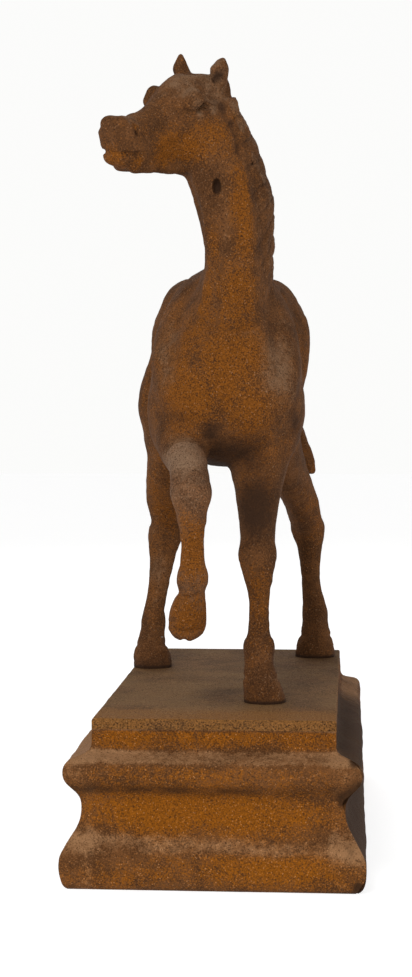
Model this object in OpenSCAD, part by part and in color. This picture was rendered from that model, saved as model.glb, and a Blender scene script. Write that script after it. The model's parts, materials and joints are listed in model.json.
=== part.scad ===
// Standing horse with one foreleg raised and its head turned. It is cast in sections,
// joined by sleeves and dowels, and bolted to a hollow moulded plinth of plate and panels.
// Millimetres, +Z up, the horse faces -Y. The origin is the centre of the plinth's underside.
// Left and right are the horse's own.

/* [Plinth] */
// Height of the plinth, from the surface it stands on to the top of its deck
plinth_h = 93; // [90:1:102]
// Width of the deck
deck_w = 136; // [134:1:150]
// Length of the deck
deck_l = 317; // [312:1:340]
// Thickness of the deck plate
deck_t = 6; // [5:0.5:8]
// How far the plinth's mouldings stand out past the deck
moulding_out = 16.7; // [14:0.1:18]
// Thickness of the moulded panels behind the line of the deck's edge
panel_wall = 6; // [5:0.5:9]

/* [Horse] */
// Height of the croup above the deck, which scales the whole horse
croup_h = 260; // [245:1:265]
// Wall of the hollow castings
wall = 5; // [4:0.5:6]
// How far the head is turned to the horse's right, in degrees
head_turn = 41; // [36:1:44]
// How far the nose drops below level, in degrees
head_drop = 27; // [24:1:30]
// How far the head is tipped over to its left, in degrees
head_tip = 10; // [6:1:14]
// Thickest part of the mane
mane_t = 4; // [3:0.5:5]
// How deep the mane's seat is cut into the neck
mane_seat = 1; // [0.8:0.1:1.5]

/* [Fasteners] */
// Diameter of the studs that hold the hooves
stud_d = 5; // [4:0.5:6]
// Diameter of the dowels in the leg and tail joints
dowel_d = 6; // [5:0.5:7]
// Diameter of the plinth's screws
screw_d = 3; // [3:0.5:4]

/* [Hidden] */

RUST = "#6b4a33";
DARK_RUST = "#4a3324";
ORANGE_RUST = "#8a5a22";
STEEL = "#5a5550";

// The horse is drawn with its croup 260 above the deck, and scaled from there.
k = croup_h / 260;
leg_sides = 18;
body_sides = 28;
hole_gap = 0.05;
e = 1;

// ---------------------------------------------------------------- rings and lofts

// A station is [x, y, height above deck, side radius, front radius, back radius, yaw, pitch].
// Yaw turns the ring to the horse's right. Pitch tips its front down.
function ring(s) =
    let (ahead = [-sin(s[6]), -cos(s[6]), 0],
         side = [cos(s[6]), -sin(s[6]), 0],
         front = ahead * cos(s[7]) - [0, 0, 1] * sin(s[7]))
    [[s[0], s[1], s[2]], side * s[3], front * s[4], front * s[5]];

// A smooth curve through the stations, with more of them in between.
function curve(a, b, c, d, t) =
    0.5 * (2 * b + (c - a) * t + (2 * a - 5 * b + 4 * c - d) * t * t
        + (3 * b - a - 3 * c + d) * t * t * t);
function smoothed(st, steps) =
    let (last = len(st) - 1)
    concat(
        [for (i = [0 : last - 1], j = [0 : steps - 1])
            curve(st[max(i - 1, 0)], st[i], st[i + 1], st[min(i + 2, last)], j / steps)],
        [st[last]]);
function line(stations) = [for (s = smoothed(stations, 2)) ring(s)];
function part_of(list, first, last) = [for (i = [first : last]) list[i]];
function from(list, first) = part_of(list, first, len(list) - 1);

function shorter(v, by) = v * max(1 - by / norm(v), 0.05);
function ring_point(r, t, inset) =
    r[0] + shorter(r[1], inset) * cos(t)
        + shorter(sin(t) > 0 ? r[2] : r[3], inset) * sin(t);

// A closed solid through loops that all have the same number of points.
module loft(loops) {
    m = len(loops);
    n = len(loops[0]);
    walls = [for (j = [0 : m - 2], i = [0 : n - 1])
        let (a = j * n + i, b = j * n + (i + 1) % n)
        each [[a, b + n, b], [a, a + n, b + n]]];
    first_end = [for (i = [0 : n - 1]) i];
    last_end = [for (i = [0 : n - 1]) m * n - 1 - i];
    polyhedron([for (l = loops) each l], concat([first_end], walls, [last_end]), convexity = 4);
}

// A casting through rings, each drawn in by the same depth.
module skin(rings, inset = 0, n = leg_sides)
    loft([for (r = rings) [for (i = [0 : n - 1]) ring_point(r, 360 * i / n, inset)]]);

// Puts the horse's measures, which count from the deck, in place.
module on_deck() translate([0, 0, plinth_h]) scale(k) children();

// Puts a part on the line of a limb, at one of its rings, pointing along the limb.
module at_ring(r) {
    along = cross(r[1], r[2]) / (norm(r[1]) * norm(r[2]));
    tilted = norm(cross([0, 0, 1], along)) > 0.001;
    translate(r[0]) rotate(a = acos(along[2]), v = tilted ? cross([0, 0, 1], along) : [1, 0, 0])
        children();
}

// ---------------------------------------------------------------- the horse's lines

BODY = line([
    [4, -119, 190, 6, 8, 8, 0, 90],
    [4, -114, 187, 22, 23, 24, 0, 90],
    [3.5, -104, 182, 34, 34, 42, 0, 90],
    [2.5, -88, 178, 42.5, 38, 62, 0, 90],
    [1.5, -68, 176, 45.5, 39, 80, 0, 90],
    [1, -42, 178, 44, 42, 83, 0, 90],
    [0, -12, 183, 45, 44, 70, 0, 90],
    [-1.5, 18, 192, 46.5, 49, 59, 0, 90],
    [-3, 46, 207, 48.5, 62, 46, 0, 90],
    [-4.2, 72, 222, 50, 71, 39, 0, 90],
    [-4.2, 92, 225, 50, 68, 37, 0, 90],
    [-4, 108, 222, 46, 58, 37, 0, 90],
    [-3.8, 119, 215, 36, 45, 34, 0, 90],
    [-3.7, 126, 208, 20, 24, 22, 0, 90],
    [-3.7, 128.5, 206, 6, 8, 7, 0, 90]
]);

// The neck, from inside the skull down into the chest.
NECK = line([
    [-9, -98, 348, 14, 17, 16, 38, 12],
    [-5.5, -97, 330, 17, 21, 21, 34, 14],
    [0, -94, 309, 19.5, 24, 26, 27, 14],
    [5.5, -90.5, 290, 20, 25, 29, 18, 14],
    [8.3, -87, 272, 19.2, 26, 31, 9, 16],
    [8.8, -82, 256, 19.2, 28, 34, 3, 20],
    [7, -75, 241, 23, 33, 38, 0, 25],
    [5, -68, 226, 30, 40, 40, 0, 32],
    [3.5, -60, 205, 33, 46, 40, 0, 38]
]);

LEFT_FORE = line([
    [15, -62, 210, 14, 26, 30, 0, 0],
    [19.5, -70, 180, 19, 30, 32, 0, 0],
    [20.5, -76, 150, 19.5, 23, 26, 0, 0],
    [21, -80, 124, 14, 16, 18, 0, 0],
    [20.8, -84, 103, 10.8, 12.5, 13, 0, 0],
    [20.9, -86, 90, 10.2, 10.5, 10, 0, 0],
    [21, -87, 82, 11, 11, 9.5, 0, 0],
    [21.3, -86.5, 73, 9.4, 9.5, 8.5, 0, 0],
    [21.8, -85.5, 62, 6.7, 7, 8, 0, 0],
    [21.8, -85, 48, 6.3, 6.8, 8, 0, 0],
    [21.7, -84.5, 38, 7.4, 7.6, 9, 0, 0],
    [21.7, -84, 31, 9.1, 9.2, 10.5, 0, 0],
    [21.9, -87.5, 21, 8.8, 8.8, 9.2, 0, 0],
    [23.2, -89.5, 13, 10.8, 10.6, 10.6, 0, 0],
    [25.2, -90, 4, 12.4, 12, 12.6, 0, 0],
    [25.6, -90.2, 0, 12.6, 12.4, 13, 0, 0]
]);

RIGHT_FORE = line([
    [-12, -60, 212, 14, 26, 30, 0, 0],
    [-19, -68, 185, 18, 28, 32, 0, -5],
    [-23, -78, 163, 17.5, 23, 26, 0, -30],
    [-23, -93, 151, 15.5, 17.5, 18, 0, -58],
    [-20.5, -107, 145, 13, 13.5, 14.5, 0, -66],
    [-17.5, -119, 139.5, 11.5, 11.5, 11.5, 0, -64],
    [-15.5, -128, 133, 11.4, 10.5, 10.5, 0, -45],
    [-14.8, -132.5, 124, 11.2, 9.8, 10.5, 0, -20],
    [-14.2, -133, 113, 9.2, 8.5, 9, 0, 0],
    [-13.8, -131.5, 101, 7.4, 7, 8, 0, 6],
    [-13.8, -129.5, 88, 7.2, 6.8, 8, 0, 8],
    [-14, -127.5, 76, 8.8, 8.5, 10.5, 0, 14],
    [-15, -123, 66.5, 7.9, 7.8, 8.5, 0, 32],
    [-16.9, -118.5, 59.5, 10, 10, 10, 0, 40],
    [-18.2, -113, 51.5, 11.2, 12.4, 12, 0, 42],
    [-18.6, -109.6, 46.8, 11.2, 12.8, 12.4, 0, 42],
    [-18.8, -108, 44.8, 9.6, 11, 10.4, 0, 42]
]);

RIGHT_HIND = line([
    [-26, 62, 212, 24, 34, 40, 0, 0],
    [-36.5, 58, 185, 24, 38, 42, 0, 0],
    [-42.7, 54, 160, 19, 34, 36, 0, 0],
    [-43.5, 54, 140, 14.5, 26, 27, 0, 8],
    [-46.3, 60, 124, 13.5, 19.5, 20, 0, 18],
    [-47.8, 67, 110, 12.2, 15.5, 16, 0, 22],
    [-47.2, 72.5, 97, 10.4, 12.5, 13.5, 0, 16],
    [-48.4, 75, 86, 11, 11, 13, 0, 4],
    [-49.8, 75, 75, 9.8, 9.5, 10.5, 0, -6],
    [-51, 73.5, 63, 8.2, 7.8, 8.6, 0, -8],
    [-53, 71.5, 48, 7.1, 7.3, 8.2, 0, -8],
    [-55.2, 69.5, 36, 7.5, 8, 9, 0, -8],
    [-55.8, 68, 27, 8, 9, 10, 0, -12],
    [-56.4, 63.5, 18.5, 9, 9, 9.5, 0, -14],
    [-56.4, 61, 12, 11, 11, 11, 0, -8],
    [-55.6, 60.2, 4, 12.6, 12.4, 12.8, 0, 0],
    [-55, 60, 0, 12.8, 12.8, 13.2, 0, 0]
]);

LEFT_HIND = line([
    [16, 72, 212, 22, 34, 40, 0, 0],
    [22.5, 74, 185, 21, 40, 42, 0, 4],
    [25, 78, 160, 16.5, 36, 36, 0, 14],
    [29.5, 85, 140, 14, 28, 27, 0, 26],
    [35, 96, 124, 12.6, 20.5, 20, 0, 36],
    [41, 108, 110, 12.2, 16, 16, 0, 40],
    [44.3, 119.5, 97, 11.8, 13, 13.5, 0, 32],
    [46.4, 127, 86, 10.8, 11, 13, 0, 14],
    [47.1, 129, 75, 9, 9.5, 10.5, 0, 0],
    [47.5, 129, 63, 7.4, 7.8, 8.6, 0, -2],
    [48.3, 128.8, 48, 6.8, 7.3, 8.2, 0, -4],
    [50.4, 128.5, 36, 8.4, 8, 9, 0, -6],
    [51, 128, 27, 8.6, 9, 10, 0, -12],
    [51.2, 124.5, 18.5, 9.8, 9, 9.5, 0, -14],
    [51.2, 122, 12, 11.8, 11, 11, 0, -8],
    [51.1, 121.2, 4, 13.6, 12.6, 13, 0, 0],
    [51, 121, 0, 13.8, 13, 13.4, 0, 0]
]);

TAIL = line([
    [-3.7, 100, 234, 12, 12, 10, 0, 60],
    [-3.2, 115, 232, 11, 12, 9, 0, 50],
    [-1, 127, 224, 10.5, 9.5, 9, 0, 30],
    [5, 135, 207, 11.5, 9.5, 9.5, 0, 15],
    [15, 139, 188, 12.5, 10, 10, 0, 4],
    [26, 140, 168, 12, 10, 10, 0, 0],
    [36, 139, 148, 9.8, 9, 9, 0, -4],
    [43.5, 138, 134, 7, 6.5, 6.5, 0, -6],
    [47.5, 137.5, 125, 3.5, 3, 3, 0, -8]
]);

// Where each casting ends, as the number of a ring on its line.
HEAD_JOINT = 4;
NECK_JOINT = 12;
FORE_JOINT = 6;
RAISED_JOINT = 9;
HIND_JOINT = 8;
TAIL_JOINT = 5;

// ---------------------------------------------------------------- the head's own frame

POLL = [-10.5, -95, 368];
AHEAD = [-sin(head_turn) * cos(head_drop), -cos(head_turn) * cos(head_drop), -sin(head_drop)];
LEVEL_UP = [-sin(head_turn) * sin(head_drop), -cos(head_turn) * sin(head_drop), cos(head_drop)];
LEVEL_SIDE = [cos(head_turn), -sin(head_turn), 0];
NEAR = LEVEL_SIDE * cos(head_tip) - LEVEL_UP * sin(head_tip);
UP = LEVEL_UP * cos(head_tip) + LEVEL_SIDE * sin(head_tip);

// A place on the head: along the nose, to the horse's left, and up from the line of the face.
function on_head(along, left, up) = POLL + AHEAD * along + NEAR * left + UP * up;

// A head station is [along, up, side radius, jaw radius, brow radius].
function head_ring(s) = [on_head(s[0], 0, s[1]), NEAR * s[2], -UP * s[3], -UP * s[4]];
HEAD = [for (s = smoothed([
    [85, -15, 5, 6, 6],
    [83, -15.5, 10, 12, 11.5],
    [77, -16, 13, 15.5, 15],
    [69, -18, 12.6, 16, 16.5],
    [59, -20.5, 12.4, 18, 16.5],
    [48, -22.5, 14, 22.5, 19],
    [37, -24.5, 18, 27, 24],
    [26, -25, 20.5, 29, 28.5],
    [14, -24.5, 20, 28, 29],
    [4, -22, 17.5, 23, 25],
    [-4, -19, 13, 16, 16],
    [-9, -17, 5, 7, 7]
], 2)) head_ring(s)];
// The hollow of the head lies between these two of its rings.
HEAD_HOLLOW = [7, 18];

// ---------------------------------------------------------------- muscle and bone

module muscle(a, b, ra, rb) {
    hull() {
        translate(a) sphere(ra, $fn = 14);
        translate(b) sphere(rb, $fn = 14);
    }
}

module shoulder(side) {
    muscle([1.5 + side * 24, -56, 220], [1.5 + side * 31, -82, 182], 12, 13);
    muscle([3.5 + side * 16, -102, 184], [3.5 + side * 19, -92, 160], 12.5, 13);
}

module haunch(side) {
    muscle([-5 + side * 24, 72, 235], [-3.5 + side * 28, 92, 206], 23, 21);
    muscle([-9 + side * 33, 48, 172], [-8 + side * 31, 66, 190], 12, 16);
}

module torso_form() {
    skin(BODY, n = body_sides);
    skin(from(NECK, NECK_JOINT), n = body_sides);
    skin(part_of(LEFT_FORE, 0, FORE_JOINT));
    skin(part_of(RIGHT_FORE, 0, RAISED_JOINT));
    skin(part_of(LEFT_HIND, 0, HIND_JOINT));
    skin(part_of(RIGHT_HIND, 0, HIND_JOINT));
    skin(part_of(TAIL, 0, TAIL_JOINT));
    for (side = [-1, 1]) {
        shoulder(side);
        haunch(side);
    }
}

module head_form() {
    skin(HEAD);
    skin(part_of(NECK, 0, HEAD_JOINT), n = body_sides);
    for (side = [-1, 1]) {
        cheek(side);
        brow(side);
        nostril(side);
        lip(side);
    }
}
module cheek(side) muscle(on_head(24, side * 11, -32), on_head(34, side * 9, -33), 10, 8);
module brow(side) muscle(on_head(28, side * 15, -6.5), on_head(34, side * 14, -9), 5.5, 4.5);
module nostril(side) muscle(on_head(77.5, side * 8, -10), on_head(73, side * 9, -13), 5.2, 4);
module lip(side) muscle(on_head(76, side * 5, -28), on_head(64, side * 5, -33), 5, 5);

// ---------------------------------------------------------------- joint hardware

head_sleeve_r = 8;
neck_sleeve_r = 11;
sleeve_wall = 2.5;
head_sleeve_l = 26;
neck_sleeve_l = 34;
dowel_l = 22;
pin_d = 3;

module rod(d, l) cylinder(d = d, h = l, center = true, $fn = 48);
module rod_hole(d, l) rod(d + 2 * hole_gap, l + 0.4);
module tube(r, l) difference() {
    cylinder(r = r, h = l, center = true, $fn = 48);
    cylinder(r = r - sleeve_wall, h = l + e, center = true, $fn = 48);
}

module neck_sleeve() color(STEEL) on_deck() at_ring(NECK[NECK_JOINT]) tube(neck_sleeve_r, neck_sleeve_l);
module head_sleeve() color(STEEL) on_deck() at_ring(NECK[HEAD_JOINT]) tube(head_sleeve_r, head_sleeve_l);
module neck_sleeve_hole() at_ring(NECK[NECK_JOINT]) rod_hole(2 * neck_sleeve_r, 60);
module head_sleeve_hole() at_ring(NECK[HEAD_JOINT]) rod_hole(2 * head_sleeve_r, 34);

module joint_dowel(r) color(STEEL) on_deck() at_ring(r) rod(dowel_d, dowel_l);
module joint_dowel_hole(r) at_ring(r) rod_hole(dowel_d, dowel_l);
module left_fore_dowel() joint_dowel(LEFT_FORE[FORE_JOINT]);
module right_fore_dowel() joint_dowel(RIGHT_FORE[RAISED_JOINT]);
module left_hind_dowel() joint_dowel(LEFT_HIND[HIND_JOINT]);
module right_hind_dowel() joint_dowel(RIGHT_HIND[HIND_JOINT]);
module tail_dowel() joint_dowel(TAIL[TAIL_JOINT]);

// ---------------------------------------------------------------- mane

// The mane lies on the crest and the left of the neck, between these sides and rings.
MANE_FROM = 19;
MANE_TO = 27;
MANE_TOP = 0;
MANE_END = 11;

function mane_depth(i, j) =
    let (across = (i - MANE_FROM) / (MANE_TO - MANE_FROM),
         down = (j - MANE_TOP) / (MANE_END - MANE_TOP),
         lock = 0.6 * sin(100 * j + 50 * i))
    (1 + (mane_t - 1) * sin(150 * across + 15)) * (0.6 + 0.4 * sin(180 * down)) + lock;
function mane_loop(j) =
    let (r = NECK[j])
    concat(
        [for (i = [MANE_FROM : MANE_TO]) ring_point(r, 360 * i / body_sides, -mane_depth(i, j))],
        [for (i = [MANE_TO : -1 : MANE_FROM]) ring_point(r, 360 * i / body_sides, mane_seat)]);
module mane_form() loft([for (j = [MANE_TOP : MANE_END]) mane_loop(j)]);

module at_mane_pins()
    for (j = [6, 9])
        let (p = ring_point(NECK[j], 302, 0), out = (p - NECK[j][0]) / norm(p - NECK[j][0]))
        translate(p - out * 2) rotate(a = acos(out[2]), v = cross([0, 0, 1], out)) children();
module mane() color(DARK_RUST) on_deck() difference() {
    mane_form();
    at_mane_pins() rod_hole(pin_d, 8);
}
module mane_pins() color(STEEL) on_deck() at_mane_pins() rod(pin_d, 8);

// ---------------------------------------------------------------- ears

// side is 1 for the horse's left and -1 for its right.
function ear_ring(side, up, out, wide, thick, along) =
    [on_head(along, side * out, up), NEAR * wide, AHEAD * thick, AHEAD * thick];
function ear_rings(side) = [
    ear_ring(side, 8.5, 16, 1.6, 1.2, 0),
    ear_ring(side, 6.5, 16, 3.6, 2.6, 1),
    ear_ring(side, 3, 15.5, 5.4, 4, 2),
    ear_ring(side, -2, 14.5, 6, 5, 3),
    ear_ring(side, -7, 13, 5.8, 5, 4),
    ear_ring(side, -11, 11.5, 4.6, 4.5, 5)
];
module ear_form(side) skin(ear_rings(side), n = 16);
module left_ear() color(RUST) on_deck() ear_form(1);
module right_ear() color(RUST) on_deck() ear_form(-1);

// ---------------------------------------------------------------- castings

module torso() color(RUST) on_deck() difference() {
    torso_form();
    skin(part_of(NECK, HEAD_JOINT, NECK_JOINT), n = body_sides);
    skin(from(TAIL, TAIL_JOINT));
    skin(part_of(BODY, 5, len(BODY) - 7), wall, body_sides);
    neck_sleeve_hole();
    joint_dowel_hole(LEFT_FORE[FORE_JOINT]);
    joint_dowel_hole(RIGHT_FORE[RAISED_JOINT]);
    joint_dowel_hole(LEFT_HIND[HIND_JOINT]);
    joint_dowel_hole(RIGHT_HIND[HIND_JOINT]);
    joint_dowel_hole(TAIL[TAIL_JOINT]);
}

// The oval hole that a core pin left, high on the front of the neck.
module core_pin_hole() hull()
    for (z = [295, 300]) translate([-1.2, -113, z]) rotate([90, 0, 0]) rod(4.2, 20);

module neck() color(RUST) on_deck() difference() {
    skin(part_of(NECK, HEAD_JOINT, NECK_JOINT), n = body_sides);
    skin(part_of(NECK, HEAD_JOINT + 1, NECK_JOINT - 1), wall, body_sides);
    mane_form();
    core_pin_hole();
    head_sleeve_hole();
    neck_sleeve_hole();
    at_mane_pins() rod_hole(pin_d, 8);
}

module head() color(RUST) on_deck() difference() {
    head_form();
    skin(part_of(HEAD, HEAD_HOLLOW[0], HEAD_HOLLOW[1]), wall);
    mane_form();
    ear_form(1);
    ear_form(-1);
    head_sleeve_hole();
}

module tail() color(RUST) on_deck() difference() {
    skin(from(TAIL, TAIL_JOINT));
    joint_dowel_hole(TAIL[TAIL_JOINT]);
}

module standing_leg(rings, joint, stud_at) on_deck() difference() {
    skin(from(rings, joint));
    joint_dowel_hole(rings[joint]);
    translate(stud_at) rod_hole(stud_d / k, 2 * stud_in_hoof);
}
module left_foreleg() color(RUST) standing_leg(LEFT_FORE, FORE_JOINT, LEFT_FORE_STUD);
module left_hind_leg() color(RUST) standing_leg(LEFT_HIND, HIND_JOINT, LEFT_HIND_STUD);
module right_hind_leg() color(RUST) standing_leg(RIGHT_HIND, HIND_JOINT, RIGHT_HIND_STUD);
module right_foreleg() color(ORANGE_RUST) on_deck() difference() {
    skin(from(RIGHT_FORE, RAISED_JOINT));
    joint_dowel_hole(RIGHT_FORE[RAISED_JOINT]);
}

// ---------------------------------------------------------------- hoof fixings

LEFT_FORE_STUD = [24.5, -90, 0];
LEFT_HIND_STUD = [50, 121, 0];
RIGHT_HIND_STUD = [-51, 60, 0];
stud_in_hoof = 20;
washer_t = 1;
nut_t = 4;
stud_below = deck_t + washer_t + nut_t + 2;
under_deck = plinth_h - deck_t;

module at_stud(p, z) translate([p[0] * k, p[1] * k, z]) children();
module stud(p) color(STEEL) at_stud(p, plinth_h - stud_below)
    cylinder(d = stud_d, h = stud_below + stud_in_hoof * k, $fn = 48);
module washer(p) color(STEEL) at_stud(p, under_deck - washer_t) difference() {
    cylinder(d = 2 * stud_d, h = washer_t, $fn = 48);
    translate([0, 0, -e]) cylinder(d = stud_d + 0.2, h = washer_t + 2 * e, $fn = 48);
}
module nut(p) color(STEEL) at_stud(p, under_deck - washer_t - nut_t) difference() {
    cylinder(d = 1.85 * stud_d, h = nut_t, $fn = 6);
    translate([0, 0, -e]) cylinder(d = stud_d + 0.1, h = nut_t + 2 * e, $fn = 48);
}

module left_fore_stud() stud(LEFT_FORE_STUD);
module left_hind_stud() stud(LEFT_HIND_STUD);
module right_hind_stud() stud(RIGHT_HIND_STUD);
module left_fore_washer() washer(LEFT_FORE_STUD);
module left_hind_washer() washer(LEFT_HIND_STUD);
module right_hind_washer() washer(RIGHT_HIND_STUD);
module left_fore_nut() nut(LEFT_FORE_STUD);
module left_hind_nut() nut(LEFT_HIND_STUD);
module right_hind_nut() nut(RIGHT_HIND_STUD);

// ---------------------------------------------------------------- plinth

bracket_t = 3;
bracket_leg = 16;
bracket_h = 34;
screw_in = 5;
head_t = 2;

// The moulding's outline up to the deck plate, as [share of moulding_out, height].
OUTLINE = smoothed([
    [0.72, 0], [0.92, 4], [0.98, 10], [1, 16], [0.92, 21], [0.75, 26], [0.5, 32.5],
    [0.31, 40], [0.33, 47], [0.54, 54], [0.78, 59], [0.88, 64], [0.83, 69],
    [0.66, 71.5], [0.3, 73.5], [0.06, 76.5], [0, 80]
], 2);

module panel(length) {
    far = 40;
    intersection() {
        rotate([90, 0, 90]) linear_extrude(length + 2 * far, center = true)
            polygon(concat(
                [[panel_wall, 0]],
                [for (p = OUTLINE) [-p[0] * moulding_out, p[1]]],
                [[0, under_deck], [panel_wall, under_deck]]));
        translate([0, 0, -e]) linear_extrude(plinth_h) polygon([
            [-length / 2 - far, -far], [length / 2 + far, -far],
            [length / 2 - panel_wall, panel_wall], [-length / 2 + panel_wall, panel_wall]]);
    }
}

// Each side is [turn, the panel's length, how far out it is].
FRONT = [0, deck_w, deck_l / 2];
LEFT = [90, deck_l, deck_w / 2];
REAR = [180, deck_w, deck_l / 2];
RIGHT = [270, deck_l, deck_w / 2];
module plinth_side(s) color(RUST) difference() {
    rotate(s[0]) translate([0, -s[2], 0]) panel(s[1]);
    at_panel_screws() translate([0, 0, -screw_in / 2]) rod_hole(screw_d, screw_in);
}
module front_panel() plinth_side(FRONT);
module left_panel() plinth_side(LEFT);
module rear_panel() plinth_side(REAR);
module right_panel() plinth_side(RIGHT);

module deck_plate() color(DARK_RUST) difference() {
    translate([-deck_w / 2, -deck_l / 2, under_deck]) cube([deck_w, deck_l, deck_t]);
    for (p = [LEFT_FORE_STUD, LEFT_HIND_STUD, RIGHT_HIND_STUD])
        at_stud(p, under_deck - e) cylinder(d = stud_d + 0.2, h = deck_t + 2 * e, $fn = 48);
    at_deck_screws() translate([0, 0, deck_t / 4]) rod_hole(screw_d, deck_t / 2);
}

// The turn that takes a bracket to each corner.
FRONT_RIGHT = 0;
FRONT_LEFT = 90;
REAR_LEFT = 180;
REAR_RIGHT = 270;
CORNERS = [FRONT_RIGHT, FRONT_LEFT, REAR_LEFT, REAR_RIGHT];
panel_screw_at = 10;
panel_screw_z = -20;

// Puts a part in the plinth's inner corner, with the panels along its x and y axes.
module at_corner(turn) {
    across = turn % 180 == 0 ? deck_w / 2 : deck_l / 2;
    along = turn % 180 == 0 ? deck_l / 2 : deck_w / 2;
    rotate(turn) translate([panel_wall - across, panel_wall - along, under_deck]) children();
}
module at_panel_screws_of(turn) at_corner(turn) {
    translate([panel_screw_at, 0, panel_screw_z]) rotate([-90, 0, 0]) children();
    translate([0, panel_screw_at, panel_screw_z]) rotate([0, 90, 0]) children();
}
module at_panel_screws() for (turn = CORNERS) at_panel_screws_of(turn) children();
module at_deck_screws()
    for (turn = CORNERS) at_corner(turn) translate([panel_screw_at, panel_screw_at, 0]) children();

module bracket(turn) color(STEEL) difference() {
    at_corner(turn) {
        translate([0, 0, -bracket_h]) cube([bracket_leg, bracket_t, bracket_h]);
        translate([0, 0, -bracket_h]) cube([bracket_t, bracket_leg, bracket_h]);
        translate([0, 0, -bracket_t]) cube([bracket_leg, bracket_leg, bracket_t]);
    }
    at_panel_screws_of(turn) translate([0, 0, bracket_t / 2]) rod_hole(screw_d, bracket_t + e);
    at_corner(turn) translate([panel_screw_at, panel_screw_at, -bracket_t / 2])
        rod_hole(screw_d, bracket_t + e);
}
module front_left_bracket() bracket(FRONT_LEFT);
module front_right_bracket() bracket(FRONT_RIGHT);
module rear_left_bracket() bracket(REAR_LEFT);
module rear_right_bracket() bracket(REAR_RIGHT);

// A screw that grips by the stated depth, with its head on a bracket.
module screw(grip) {
    translate([0, 0, -grip]) cylinder(d = screw_d, h = grip + bracket_t, $fn = 48);
    translate([0, 0, bracket_t]) cylinder(d = 2 * screw_d, h = head_t, $fn = 48);
}
module panel_screws() color(STEEL) at_panel_screws() screw(screw_in);
module deck_screws() color(STEEL) at_deck_screws() rotate([180, 0, 0]) screw(deck_t / 2);

torso();
neck();
head();
left_ear();
right_ear();
mane();
tail();
left_foreleg();
right_foreleg();
left_hind_leg();
right_hind_leg();
neck_sleeve();
head_sleeve();
mane_pins();
tail_dowel();
left_fore_dowel();
right_fore_dowel();
left_hind_dowel();
right_hind_dowel();
left_fore_stud();
left_hind_stud();
right_hind_stud();
left_fore_washer();
left_hind_washer();
right_hind_washer();
left_fore_nut();
left_hind_nut();
right_hind_nut();
deck_plate();
front_panel();
rear_panel();
left_panel();
right_panel();
front_left_bracket();
front_right_bracket();
rear_left_bracket();
rear_right_bracket();
panel_screws();
deck_screws();
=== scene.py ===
import itertools
import json
import math

import bmesh
import bpy
import numpy as np
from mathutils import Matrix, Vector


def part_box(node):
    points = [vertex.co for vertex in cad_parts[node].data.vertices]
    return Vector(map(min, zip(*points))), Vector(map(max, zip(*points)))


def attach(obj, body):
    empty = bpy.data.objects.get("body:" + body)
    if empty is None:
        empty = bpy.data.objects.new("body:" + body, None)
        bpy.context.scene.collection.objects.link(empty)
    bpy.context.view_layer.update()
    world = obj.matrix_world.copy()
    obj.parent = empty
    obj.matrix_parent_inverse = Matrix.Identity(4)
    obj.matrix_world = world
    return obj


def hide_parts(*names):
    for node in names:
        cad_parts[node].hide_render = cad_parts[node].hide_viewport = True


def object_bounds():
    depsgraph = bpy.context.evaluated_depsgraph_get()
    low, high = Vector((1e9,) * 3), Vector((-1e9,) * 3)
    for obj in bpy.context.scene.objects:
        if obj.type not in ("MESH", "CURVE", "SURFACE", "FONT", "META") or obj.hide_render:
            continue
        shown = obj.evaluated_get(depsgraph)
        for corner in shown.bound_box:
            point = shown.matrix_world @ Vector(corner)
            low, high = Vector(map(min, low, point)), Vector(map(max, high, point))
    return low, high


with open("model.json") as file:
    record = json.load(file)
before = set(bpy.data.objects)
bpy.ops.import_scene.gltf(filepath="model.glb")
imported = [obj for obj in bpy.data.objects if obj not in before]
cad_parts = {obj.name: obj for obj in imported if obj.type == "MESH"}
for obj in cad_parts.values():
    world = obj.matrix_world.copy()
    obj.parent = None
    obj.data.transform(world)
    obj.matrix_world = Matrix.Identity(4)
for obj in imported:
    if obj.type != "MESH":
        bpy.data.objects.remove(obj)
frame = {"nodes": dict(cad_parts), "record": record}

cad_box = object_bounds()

import openvdb
from mathutils import Vector
from mathutils.bvhtree import BVHTree

# A rusty cast-iron horse on a moulded plinth. The castings' skins are worked in millimetres, as
# distances on grids of points: the CAD solids are smoothed, muscle and bone are added, and the
# result is turned into meshes and parted where the CAD's castings meet.

MM = 0.001
# Steps of the grids for the trunk, the bust and the tail, in millimetres.
BODY_STEP, BUST_STEP, TAIL_STEP = 1.2, 0.75, 0.8
# A blurred edge is close to a logistic curve of this steepness.
LOGISTIC = 1.702
# How far the softening that finds hollows for the painted shade reaches, in millimetres.
HOLLOW_REACH = 5
# Steps each side of a skin in which openvdb keeps its distances.
BAND = 3
# How far out a search for the CAD's skin starts, in millimetres.
SEARCH = 120
# Points each way in a noise table before it repeats.
NOISE_POINTS = 32
# How far apart the points of the plinth's panels and of the deck lie, in millimetres.
PANEL_SPACING, DECK_SPACING = 1.7, 2.6

HORSE = ["torso", "neck", "head", "left_ear", "right_ear",
         "left_foreleg", "right_foreleg", "left_hind_leg", "right_hind_leg"]
LINERS = ["neck_sleeve", "head_sleeve", "tail_dowel", "left_fore_dowel", "right_fore_dowel",
          "left_hind_dowel", "right_hind_dowel", "mane_pins",
          "left_fore_stud", "left_hind_stud", "right_hind_stud"]


def box_mm(node):
    low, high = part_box(node)
    return np.array(low) / MM, np.array(high) / MM


DECK = box_mm("deck_plate")[1][2]
FORWARD, BACKWARD, UPWARD = (0, -1, 0), (0, 1, 0), (0, 0, 1)


# --- reading the CAD's skins

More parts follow.
